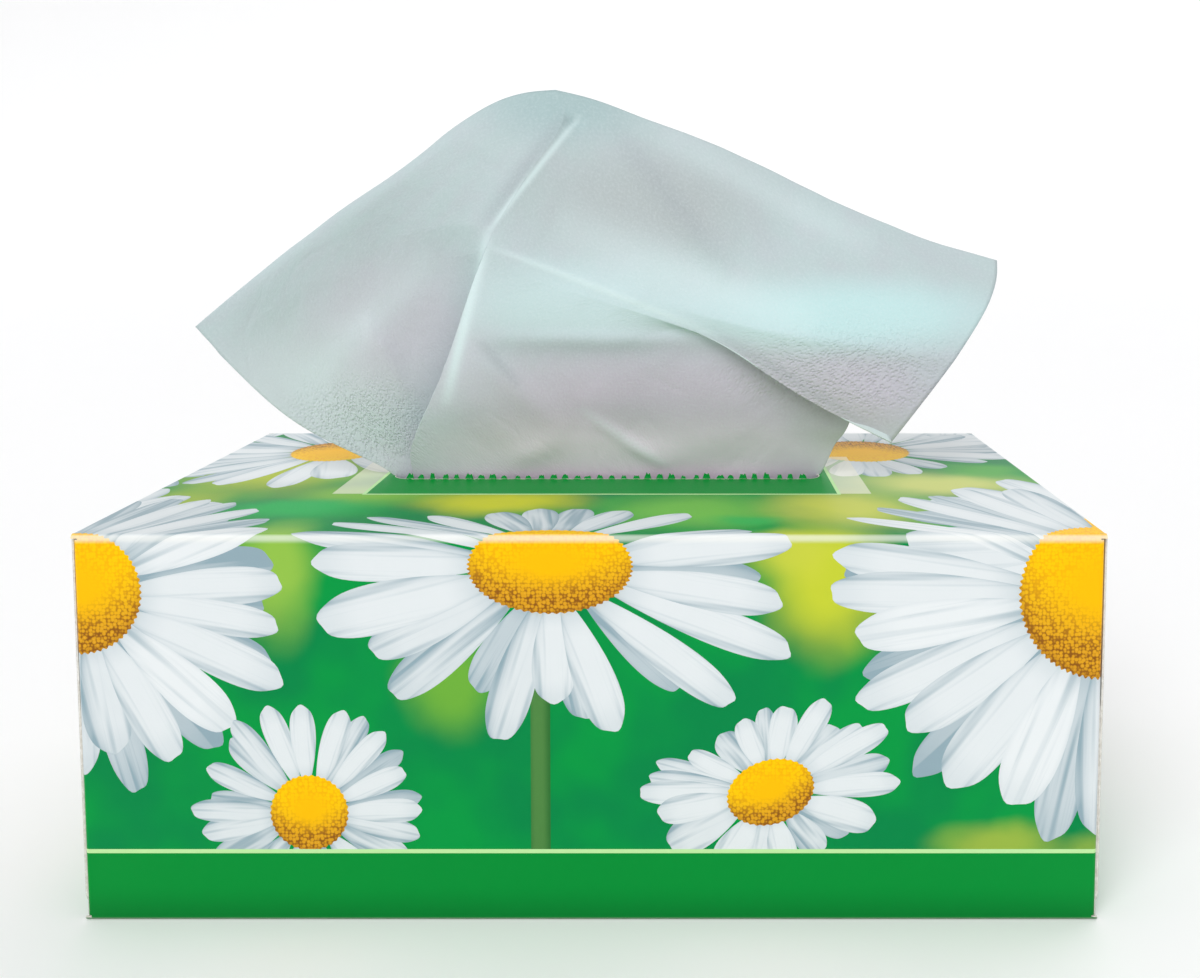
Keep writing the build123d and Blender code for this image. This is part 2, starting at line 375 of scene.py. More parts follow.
TOP_DAISIES = (
    ((-83.7, -86.7), (13.0, 13.5, 0.0), -1, (
        (-85.5, -42, 10, 0.1), (-73.5, -52, 13, 0.1), (-102.5, -45, 9, 0.1), (-111, -46, 8, 0.3),
        (-117, -55, 9, 0.2), (-122, -67, 9, 0.4), (-128, -76, 8, 0.2), (-128, -88, 9, 0.1),
        (-126, -99, 9, 0.5), (-120, -110, 9, 0.2), (-110, -121, 10, 0.3), (-98, -127, 10, 0.1),
        (-86, -130, 10, 0.4), (-73, -128, 10, 0.1), (-61, -121, 10, 0.3), (-50, -110, 9, 0.1),
        (-44, -98, 9, 0.4), (-42, -86, 9, 0.1), (-47, -72, 10, 0.3), (-58, -60, 10, 0.1),
    )),
    ((73.7, -87.0), (14.6, 14.4, 0.0), -1, (
        (108, -72, 7, 0.3), (94, -64.5, 9, 0.4), (84.5, -57, 9, 0.1), (73.5, -54, 10, 0.2),
        (64, -54.5, 10, 0.1), (50, -61, 10, 0.3), (40, -70, 9, 0.1), (33, -80, 9, 0.4),
        (30, -91, 9, 0.1), (34, -103, 9, 0.3), (42, -115, 10, 0.1), (52, -124, 9, 0.4),
        (64, -130, 10, 0.2), (77, -131, 10, 0.1), (90, -128, 9, 0.4), (101, -121, 10, 0.1),
        (111, -111, 9, 0.3), (117, -100, 9, 0.1), (119, -88, 9, 0.4), (117, -78, 9, 0.1),
    )),
)
# Whole daisies where the petals only need to be even: middle, disc radii and turn, shading side,
# petal reach, count of petals and seed.
PLAIN_DAISIES = (
    ((-128.1, -0.8), (14.0, 14.0, 0.0), 1, 44, 21, 1),
    ((128.5, -0.8), (19.2, 18.5, 0.0), 1, 57, 22, 2),
    ((-150.0, -66.0), (15.0, 13.0, 20.0), -1, 44, 22, 3),
    ((-179.0, -30.0), (8.0, 8.0, 0.0), -1, 23, 18, 4),
    ((-176.0, -98.0), (9.0, 8.0, 0.0), -1, 25, 19, 5),
    ((168.0, -74.0), (11.0, 10.0, -15.0), -1, 31, 20, 6),
    ((132.0, -113.0), (14.0, 14.0, 0.0), -1, 42, 21, 7),
    ((0.0, -147.0), (17.0, 14.0, 0.0), -1, 50, 24, 8),
    ((-62.0, -167.0), (9.0, 8.6, 0.0), -1, 27, 19, 9),
    ((56.0, -169.0), (9.5, 8.4, 15.0), -1, 27, 19, 10),
    ((-114.0, -150.0), (15.0, 15.0, 0.0), -1, 44, 21, 11),
    ((114.0, -153.0), (16.0, 16.0, 0.0), -1, 46, 21, 12),
)
STEMS = (((-11.0, 14.0), (-11.3, 73.0), 4.4), ((-1.0, -150.0), (1.0, -190.0), 4.4))

STRIPE_V, STRIPE_WIDTH = 72.2, 0.95
PANEL_HALF_LENGTH, PANEL_NEAR, PANEL_FAR = 59.8, 35.9, 79.1
PANEL_LINE = 0.9
VEIL_WIDTH = 7.8
BLANK_REACH = 210.0  # past every edge of the blank
BLEED = 3.0  # how far a flat field runs past the edge of the board

INKS = ("field", "stem", "petal", "disc", "panel", "line", "band")
BLANK_FRAME = (np.zeros(2), np.array([1.0, 0.0]), np.array([0.0, 1.0]))
FIELD = ("field", None, BLANK_FRAME, 0.0)  # what shows where nothing is printed over it


def daisy(at, disc, shaded, petals):
    """The outlines of one daisy: petals from the back to the front, and then its disc."""
    radii, turn = np.array(disc[:2]), math.radians(disc[2])
    axes = np.array([(math.cos(turn), math.sin(turn)), (-math.sin(turn), math.cos(turn))])
    shapes = []
    for u, v, width, shade in sorted(petals, key=lambda petal: -petal[3]):
        reach = np.array((u, v)) - at
        root = at + reach * PETAL_ROOT / np.linalg.norm(axes @ reach / radii)
        outline, local = petal_outline(root, (u, v), width)
        shapes.append(("petal", outline, local, shade))
    local = (np.array(at), axes[0] * radii[0], axes[1] * radii[1] * shaded)
    scallops = int(DISC_SCALLOPS * (radii[0] + radii[1]))
    outline = ellipse(at, radii, turn, 5 * scallops, scallops, SCALLOP_DEPTH)
    shapes.append(("disc", outline, local, 0.0))
    return shapes


def even_petals(at, disc, reach, count, seed):
    """Petals all round a disc at even angles, each a little longer, wider or turned at random."""
    draw = np.random.default_rng(seed)
    angles = (np.arange(count) + draw.uniform(-0.22, 0.22, count)) * 2 * math.pi / count
    lengths = reach * draw.uniform(0.92, 1.05, count)
    squash = disc[1] / disc[0]
    tips = np.column_stack([np.cos(angles) * lengths, np.sin(angles) * lengths * squash])
    widths = 2 * math.pi * reach / count * draw.uniform(0.72, 0.92, count)
    shades = draw.permutation(np.where(np.arange(count) % 3 == 0, 0.8, 0.15))
    return np.column_stack([np.array(at) + tips, widths, shades]).tolist()


def flat_field(ink, low_u, high_u, low_v, high_v):
    """A rectangle of one ink, whose coordinates are the blank's own."""
    return ink, rectangle(low_u, high_u, low_v, high_v), BLANK_FRAME, 0.0


def printed_shapes():
    """Everything printed over the field, from the bottom up: (ink, outline, frame, shade)."""
    shapes = []
    for (u, v), (end_u, end_v), width in STEMS:
        half = width / 2
        outline = np.array([(u - half, v), (u + half, v), (end_u + half, end_v), (end_u - half, end_v)])
        local = (np.array([u, v]), np.array([half, 0.0]), np.array([0.0, end_v - v]))
        shapes.append(("stem", outline, local, 0.0))
    for at, disc, shaded, reach, count, seed in PLAIN_DAISIES:
        shapes += daisy(at, disc, shaded, even_petals(at, disc, reach, count, seed))
    for each in TOP_DAISIES + FRONT_DAISIES:
        shapes += daisy(*each)
    girth = (-GIRTH_END - BLEED, GIRTH_END + BLEED)
    for low, high in ((STRIPE_V, FRONT_BOTTOM + BLEED), (BACK_END - BLEED, TOP_BACK - STRIPE_V)):
        shapes.append(flat_field("band", *girth, low, high))
    stripe = HALF_LENGTH + STRIPE_V
    for side in (-1, 1):
        for ink, far in (("band", BLANK_REACH), ("line", stripe + STRIPE_WIDTH)):
            ends = sorted((side * stripe, side * far))
            shapes.append(flat_field(ink, *ends, TOP_BACK, TOP_FRONT))
    for low in (STRIPE_V, TOP_BACK - STRIPE_V - STRIPE_WIDTH):
        shapes.append(flat_field("line", *girth, low, low + STRIPE_WIDTH))
    for ink, line in (("line", PANEL_LINE), ("panel", 0.0)):
        half = PANEL_HALF_LENGTH + line
        shapes.append(flat_field(ink, -half, half, -PANEL_FAR - line, -PANEL_NEAR + line))
    return shapes


def veils():
    """The pale see-through bars, one at each end of the panel round the slot."""
    inner, near, far = PANEL_HALF_LENGTH + PANEL_LINE, -PANEL_NEAR, -PANEL_FAR
    outer = inner + VEIL_WIDTH
    return [rectangle(-outer, -inner, far, near), rectangle(inner, outer, far, near)]


def slot_outline():
    """The torn edge of the print round the slot.

    Between the ties the coated face came away with the strip, so the print stops 0.3 to 0.7 mm
    short of the cut. On each tie it reaches out over the slot.
    """
    draw = np.random.default_rng(5)
    half_u, half_v = SLOT_LENGTH / 2 - SLOT_CORNER, SLOT_WIDTH / 2
    u = np.arange(-half_u, half_u, 0.4)
    on_tie = np.abs(u[:, None] - TIE_PLACES).min(axis=1) < TIE_WIDTH / 2 * draw.uniform(0.6, 1.4, len(u))
    bare = np.where(on_tie, -0.3, draw.uniform(0.3, 0.7, (2, len(u))))
    a = np.linspace(-math.pi / 2, math.pi / 2, 12)[1:-1]
    bulge = SLOT_CORNER + 0.3
    flat = half_v - SLOT_CORNER
    cap = np.column_stack([half_u + bulge * np.cos(a), np.sin(a) * bulge + np.sign(np.sin(a)) * flat])
    near = np.column_stack([u, half_v + bare[0]])
    far = np.column_stack([u, -half_v - bare[1]])
    ring = np.vstack([far, cap, near[::-1], -cap])
    return ring + np.array([0.0, (TOP_BACK + TOP_FRONT) / 2])


def rounded_end(side):
    """The outer end flap at one end, with round corners at its free edge."""
    tip = HALF_LENGTH + HEIGHT - END_FLAP_GAP
    middle = (TOP_BACK + TOP_FRONT) / 2
    a = np.linspace(0, math.pi / 2, 7)
    corner = np.column_stack([np.sin(a), np.cos(a)]) * FLAP_CORNER
    centre = np.array([tip - FLAP_CORNER, FLAP_HALF - FLAP_CORNER])
    near = centre + corner
    far = (near * np.array([1, -1]))[::-1]
    root = np.array([(GIRTH_END - 1, FLAP_HALF), (GIRTH_END - 1, -FLAP_HALF)])
    outline = np.vstack([near, far, root[::-1]])
    return outline * np.array([side, 1]) + np.array([0.0, middle])


def board_outlines():
    """The blank's outlines that show: the girth, its corners, the end flaps and inner flaps' roots."""
    outlines = [rectangle(-GIRTH_END, GIRTH_END, BACK_END, BOTTOM_BACK + 2 * FOLD_RADIUS)]
    for crease in CORNER_CREASES:
        reach = HALF_LENGTH - BOARD
        outlines.append(rectangle(-reach, reach, crease - FOLD_RADIUS, crease + FOLD_RADIUS))
    inset = FOLD_RADIUS + FLAP_RELIEF
    walls = ((TOP_FRONT + inset, FRONT_BOTTOM - inset), (TOP_BACK - HEIGHT + inset, TOP_BACK - inset))
    floor = FRONT_BOTTOM + HALF_WIDTH
    for side in (-1, 1):
        outlines.append(rounded_end(side))
        for low, high in walls:
            ends = sorted((side * (GIRTH_END - 1), side * (HALF_LENGTH - 2 * LAYER + DUST_ROOT)))
            outlines.append(rectangle(*ends, low, high))
        ends = sorted((side * (GIRTH_END - 1), side * (HALF_LENGTH - LAYER + BOTTOM_ROOT)))
        outlines.append(rectangle(*ends, floor - FLAP_HALF, floor + FLAP_HALF))
    return outlines


def crease_lines():
    """Lines along which the blank bends, as pairs of ends, several across every crease."""
    across = [
        ((-HALF_LENGTH, at + step), (HALF_LENGTH, at + step))
        for at, *_ in CREASES for step in CREASE_STEPS
    ]
    middle = (TOP_BACK + TOP_FRONT) / 2
    spans = (
        (HALF_LENGTH, middle - FLAP_HALF, middle + FLAP_HALF),
        (HALF_LENGTH - 2 * LAYER, TOP_FRONT + 1, FRONT_BOTTOM - 1),
        (HALF_LENGTH - 2 * LAYER, TOP_BACK - HEIGHT + 1, TOP_BACK - 1),
        (HALF_LENGTH - LAYER, FRONT_BOTTOM + 1, BOTTOM_BACK - 0.5),
    )
    ends = [
        ((side * (at + step), low), (side * (at + step), high))
        for side in (-1, 1) for at, low, high in spans for step in CREASE_STEPS
    ]
    return across + ends


# ---- the print, cut and folded ---------------------------------------------------------------
def inside(points, outline):
    """Which points lie in the outline: a ray to the right crosses it an odd number of times."""
    near = np.all((points >= outline.min(axis=0)) & (points <= outline.max(axis=0)), axis=1)
    x, y = points[near].T[:, :, None]
    (x1, y1), (x2, y2) = outline.T, np.roll(outline, -1, axis=0).T
    rises = np.where(y2 == y1, 1.0, y2 - y1)
    crossed = ((y1 > y) != (y2 > y)) & (x < x1 + (x2 - x1) * (y - y1) / rises)
    found = np.zeros(len(points), bool)
    found[near] = crossed.sum(axis=1) % 2 == 1
    return found


CUT_TOLERANCE = 1e-5


def cut_blank():
    """Cuts the blank along every printed outline and crease.

    Returns the printed shapes, the flat points, the triangles on the board, and for each triangle
    the topmost shape over its middle (-1 for none) and whether a veil lies over it.
    """
    shapes = printed_shapes()
    boards, hole, bars = board_outlines(), slot_outline(), veils()
    outlines = boards + [hole] + bars + [shape[1] for shape in shapes]
    lines = crease_lines()
    starts = np.cumsum([0] + [len(outline) for outline in outlines])
    edges = np.arange(starts[-1])
    ahead = edges + 1
    ahead[starts[1:] - 1] = starts[:-1]
    ends = starts[-1] + 2 * np.arange(len(lines))
    pairs = np.vstack([np.column_stack([edges, ahead]), np.column_stack([ends, ends + 1])])
    points = np.vstack(outlines + [np.array(line) for line in lines])
    places = [Vector(point) for point in points.tolist()]
    cut = delaunay_2d_cdt(places, pairs.tolist(), [], 0, CUT_TOLERANCE, False)
    flat, triangles = np.array([tuple(point) for point in cut[0]]), np.array(cut[2])
    middles = flat[triangles].mean(axis=1)
    solid = np.any([inside(middles, board) for board in boards], axis=0) & ~inside(middles, hole)
    triangles, middles = triangles[solid], middles[solid]
    top = np.full(len(triangles), -1)
    for index, shape in enumerate(shapes):
        top[inside(middles, shape[1])] = index
    veil = np.any([inside(middles, bar) for bar in bars], axis=0)
    return shapes, flat, triangles, top, veil


def panel_names(flat, triangles):
    """The panel that each triangle belongs to."""
    u, v = flat[triangles].mean(axis=1).T
    on_top = (v > TOP_BACK) & (v < TOP_FRONT)
    on_left, on_right = on_top & (u < -HALF_LENGTH), on_top & (u > HALF_LENGTH)
    choices = [on_left, on_right, on_top, v < TOP_BACK, v < FRONT_BOTTOM]
    return np.select(choices, ["end_left", "end_right", "top", "back", "front"], "bottom")


def make_mesh(name, points, faces, materials):
    """A new smooth object at the origin from points in millimetres."""
    mesh = bpy.data.meshes.new(name)
    mesh.from_pydata((np.asarray(points) * MM).tolist(), [], faces)
    for material in materials:
        mesh.materials.append(material)
    mesh.polygons.foreach_set("use_smooth", np.full(len(mesh.polygons), True))
    mesh.update()
    made = bpy.data.objects.new(name, mesh)
    bpy.context.scene.collection.objects.link(made)
    return made


def set_face_values(mesh, name, values):
    """Gives each face of the mesh a number under this name."""
    layer = mesh.attributes.new(name, "FLOAT", "FACE")
    layer.data.foreach_set("value", np.asarray(values, np.float32))


def set_uv(mesh, name, corners):
    """Gives the mesh a UV map from the two coordinates at each corner of each face."""
    layer = mesh.uv_layers.new(name=name)
    layer.data.foreach_set("uv", np.asarray(corners, np.float32).ravel())


def boundary_edges(faces):
    """The edges that only one triangle has, in the direction in which it runs along them."""
    edges = np.concatenate([faces[:, [0, 1]], faces[:, [1, 2]], faces[:, [2, 0]]])
    key = np.sort(edges, axis=1)
    _, index, count = np.unique(key, axis=0, return_inverse=True, return_counts=True)
    return edges[count[index.ravel()] == 1]


PRINT_LIFT = 0.02  # the ink and its coating stand this far off the board
PRINT_REST = 0.004  # and the skin's inner face this far


def print_piece(name, shapes, flat, triangles, top, veil, materials):
    """One panel's print: a thin closed skin, folded with its part of the blank.

    The outer face is the fold of the flat triangles, and the inner face the same a little nearer
    the board, turned over. Quads join the two along every open edge.
    """
    used, faces = np.unique(triangles, return_inverse=True)
    faces = faces.reshape(-1, 3)
    u, v = flat[used].T
    outer, normals = fold(u, v, PRINT_LIFT)
    inner, _ = fold(u, v, PRINT_REST)
    a, b, c = (outer[faces[:, corner]] for corner in range(3))
    facing = np.einsum("ij,ij->i", np.cross(b - a, c - a), normals[faces[:, 0]])
    faces = np.where(facing[:, None] < 0, faces[:, ::-1], faces)
    rim = boundary_edges(faces)
    count = len(used)
    under = faces[:, ::-1] + count
    quads = np.column_stack([rim[:, 1], rim[:, 0], rim[:, 0] + count, rim[:, 1] + count])
    all_faces = faces.tolist() + under.tolist() + quads.tolist()
    piece = make_mesh(name, np.vstack([outer, inner]), all_faces, materials)
    mesh = piece.data

    covered = [shapes[index] if index >= 0 else FIELD for index in top]
    ink = np.array([INKS.index(shape[0]) for shape in covered])
    shade = np.array([shape[3] for shape in covered])
    origin = np.array([shape[2][0] for shape in covered])[:, None]
    along, across = (np.array([shape[2][part] for shape in covered])[:, None] for part in (1, 2))
    from_origin = flat[used][faces] - origin
    shares = [(from_origin * way).sum(axis=2) / (way * way).sum(axis=2) for way in (along, across)]
    local = np.stack(shares, axis=2)
    padding = np.zeros(len(under) + len(quads))
    material = np.concatenate([ink, ink, np.zeros(len(quads))]).astype(np.int32)
    mesh.polygons.foreach_set("material_index", material)
    set_face_values(mesh, "shade", np.concatenate([shade, padding]))
    set_face_values(mesh, "veil", np.concatenate([veil, padding]))
    rest = flat[np.tile(used, 2)]
    corners = np.empty(len(mesh.loops), np.int32)
    mesh.loops.foreach_get("vertex_index", corners)
    blank_corners = rest[corners]
    shape_corners = blank_corners.copy()
    shape_corners[: 3 * len(faces)] = local.reshape(-1, 2)
    set_uv(mesh, "Blank", blank_corners)
    set_uv(mesh, "Shape", shape_corners)
    mesh.normals_split_custom_set_from_vertices(np.vstack([normals, -normals]).tolist())
    return piece


# ---- materials -------------------------------------------------------------------------------
def crease_rub_and_highlight(u, v):
    """How far the creases are painted pale: partly the coating rubbed at the fold, partly a painted
    highlight where the rounded fold catches light.
    """
    # painted highlight, strongest along the crease between the top and the front
    front = (v - 0.7).math("ABSOLUTE").ramp(1.5, 0.2) * 0.5
    back = (v - TOP_BACK).math("ABSOLUTE").ramp(1.0, 0.1) * 0.25
    under = (v - FRONT_BOTTOM).math("ABSOLUTE").ramp(0.9, 0.1) * 0.2
    ends = (u.math("ABSOLUTE") - HALF_LENGTH).math("ABSOLUTE").ramp(1.0, 0.1) * 0.1
    return front + back + under + ends


def finish_print(shader, ink, colour, veiled=True):
    """Coated board: the colour, paled at creases by rubbing and a painted highlight and under a veil,
    with a faint fibrous relief.
    """
    u, v, blank = shader.uv("Blank")
    grain = shader.noise(blank, 1.6, 4.0, 0.6)
    # painted highlight and rubbed coating: the creases are mixed towards near-white
    colour = shader.mix(crease_rub_and_highlight(u, v), colour, rgb(250, 250, 244))
    if veiled:
        veil = shader.attribute("veil")
        colour = shader.mix(veil * ink.veil_cover, colour, tuple(ink.veil))
    return shader.finish(
        Base_Color=colour,
        Roughness=grain * 0.12 + 0.32,
        Specular_IOR_Level=0.08,
        Normal=shader.bump(grain, 0.00003, 0.6),
    )


# Soft lights and darks of the field: middle and radii on the blank, colour and strength.
GLOWS = (
    ((-69.0, 7.0), (9.0, 17.0), (150, 195, 75), 0.95),
    ((-31.0, 34.0), (11.0, 13.0), (122, 184, 58), 0.8),
    ((53.0, 10.0), (14.0, 17.0), (198, 208, 55), 1.0),
    ((44.0, 4.0), (10.0, 8.0), (205, 210, 70), 0.8),
    ((92.0, 71.0), (15.0, 6.0), (160, 185, 70), 0.9),
    ((112.0, 72.0), (6.0, 5.0), (150, 180, 70), 0.7),
    ((-25.0, -28.0), (22.0, 13.0), (205, 208, 40), 1.0),
    ((22.0, -20.0), (22.0, 16.0), (120, 195, 75), 0.9),
    ((60.0, -22.0), (20.0, 18.0), (200, 208, 85), 1.0),
    ((-60.0, -34.0), (20.0, 11.0), (140, 195, 60), 0.8),
    ((-92.0, -62.0), (26.0, 28.0), (172, 190, 50), 1.0),
    ((-104.0, -26.0), (12.0, 16.0), (160, 185, 55), 0.9),
    ((88.0, -46.0), (26.0, 14.0), (208, 212, 120), 0.9),
    ((-72.0, -22.0), (19.0, 9.0), (0, 178, 82), 1.0),
    ((36.0, -12.0), (9.0, 5.0), (40, 180, 85), 0.8),
    ((105.0, -62.0), (12.0, 8.0), (90, 175, 70), 0.8),
    ((-20.0, -100.0), (60.0, 12.0), (150, 195, 60), 0.8),
    ((-40.0, -140.0), (22.0, 16.0), (160, 198, 55), 0.9),
    ((45.0, -135.0), (26.0, 12.0), (195, 206, 70), 0.9),
    ((-136.0, -60.0), (16.0, 28.0), (165, 195, 60), 0.8),
    ((150.0, -40.0), (18.0, 22.0), (170, 200, 60), 0.8),
)


def field_material(ink):
    """Out-of-focus meadow: greens with soft round lights, all smooth."""
    shader = Shader("field_print")
    _, _, blank = shader.uv("Blank")
    drift = shader.noise(blank, 0.035)
    wander = shader.node("ShaderNodeTexNoise", None, {"Vector": blank, "Scale": 0.06}, output="Color")
    warped = shader.stretch(wander, (9.0, 9.0, 0.0), blank)
    warped = shader.stretch(warped, (1.0, 1.0, 0.0), (-4.5, -4.5, 0.0))
    colour = shader.mix(drift.ramp(0.38, 0.62), tuple(ink.field_cool), tuple(ink.field_fresh))
    for (u, v), (reach_u, reach_v), tone, strength in GLOWS:
        glow = shader.spot(warped, (u, v, 0.0), (reach_u, reach_v, 1.0))
        colour = shader.mix(glow * strength, colour, rgb(*tone))
    return finish_print(shader, ink, colour)


def petal_material(ink):
    """White petals: lengthwise folds, blue-grey where turned away, and darker at edge and root."""
    shader = Shader("petal_print")
    p, q, shape = shader.uv("Shape")
    shade = shader.attribute("shade")
    profile = (p * (1 - p) * 4 + 0.001) ** PETAL_ROUNDNESS * (p * 0.78 + 0.5) * 0.5
    edge = (q.math("ABSOLUTE") / profile).ramp(0.78, 1.02)
    lean = (q / profile * (shade * 5).math("SINE")).ramp(0.1, 1.1)
    offset = shader.node("ShaderNodeCombineXYZ", None, {2: shade * 37.0})
    wide = shader.stretch(shape, (0.8, 4.2, 0.0), offset)
    fine = shader.stretch(shape, (1.0, 24.0, 0.0), offset)
    folds = shader.noise(wide, 1.1, 1.0).ramp(0.48, 0.72)
    veins = shader.noise(fine, 1.0).ramp(0.56, 0.78)
    dusk = folds * 0.5 + veins * 0.16 + edge * 0.12 + p.ramp(0.3, 0.0) * 0.35 + lean * 0.6
    dusk = dusk + shade * 0.72 + p.ramp(0.72, 1.0) * 0.16 + 0.04
    colour = shader.mix(dusk.math("MINIMUM", 1.0), tuple(ink.petal), tuple(ink.petal_shade))
    colour = shader.mix(p.ramp(0.14, 0.02) * 0.5, colour, rgb(192, 184, 146))
    return finish_print(shader, ink, colour)


def disc_material(ink):
    """A daisy's disc: tiny florets, smooth and yellow on top, golden with brown gaps on one side."""
    shader = Shader("disc_print")
    _, y, shape = shader.uv("Shape")
    _, _, blank = shader.uv("Blank")
    radius = shader.length(shape)
    florets = {"Vector": blank, "Scale": 1.25, "Randomness": 0.6}
    cells = shader.node("ShaderNodeTexVoronoi", None, florets)
    gaps = cells.ramp(0.4, 0.74)
    low = (y * 0.75 + radius * 0.6).ramp(0.12, 1.02)
    rim = radius.ramp(0.86, 1.0)
    colour = shader.mix(radius.ramp(0.9, 0.1) * 0.5, tuple(ink.disc), rgb(252, 180, 0))
    colour = shader.mix(gaps * radius.ramp(0.15, 0.7) * 0.45, colour, rgb(240, 156, 0))
    colour = shader.mix(low * 0.8, colour, rgb(214, 148, 36))
    colour = shader.mix(gaps * low, colour, tuple(ink.disc_gap))
    colour = shader.mix(rim * low * 0.4, colour, rgb(150, 96, 30))
    colour = shader.mix(cells.ramp(0.2, 0.0) * low * 0.5, colour, rgb(248, 206, 104))
    return finish_print(shader, ink, colour)


def stem_material(ink):
    """A round stem: light along its middle and dark at both sides."""
    shader = Shader("stem_print")
    x, _, _ = shader.uv("Shape")
    side = (x + 0.3).math("ABSOLUTE")
    colour = shader.mix(side.ramp(0.3, 1.3), tuple(ink.stem), rgb(46, 110, 50))
    return finish_print(shader, ink, colour)


def band_material(ink):
    """The flat green band, with painted shade darkening it towards the surface that the carton stands
    on.
    """
    shader = Shader("band_print")
    _, v, _ = shader.uv("Blank")
    # painted shade near the floor: darker over the front's last 9 mm and on the bottom
    front = v.ramp(FRONT_BOTTOM - 9, FRONT_BOTTOM + 1)
    colour = shader.mix(front * 0.5, tuple(ink.band), rgb(0, 92, 34))
    return finish_print(shader, ink, colour)


def flat_print(ink, name, tone):
    """One plain ink, very slightly uneven."""
    shader = Shader(name)
    _, _, blank = shader.uv("Blank")
    colour = shader.mix(shader.noise(blank, 0.5) * 0.08, tuple(tone), rgb(0, 120, 50))
    return finish_print(shader, ink, colour, veiled=False)


def print_materials(ink):
    """One material for each of INKS, in that order."""
    return [
        field_material(ink),
        stem_material(ink),
        petal_material(ink),
        disc_material(ink),
        flat_print(ink, "panel_print", ink.panel),
        flat_print(ink, "line_print", ink.line),
        band_material(ink),
    ]


def board_material():
    """Bare folding boxboard: grey-white fibre, with short darker hairs."""
    shader = Shader("bare_board")
    place = shader.place()
    fibre = shader.noise(place, 900.0, 6.0, 0.7)
    cloud = shader.noise(place, 60.0)
    colour = shader.mix(fibre.ramp(0.35, 0.7), rgb(214, 210, 200), rgb(240, 238, 232))
    colour = shader.mix(cloud * 0.25, colour, rgb(200, 196, 184))
    relief = shader.bump(fibre, 0.0001)
    return shader.finish(Base_Color=colour, Roughness=fibre * 0.1 + 0.82, Normal=relief)


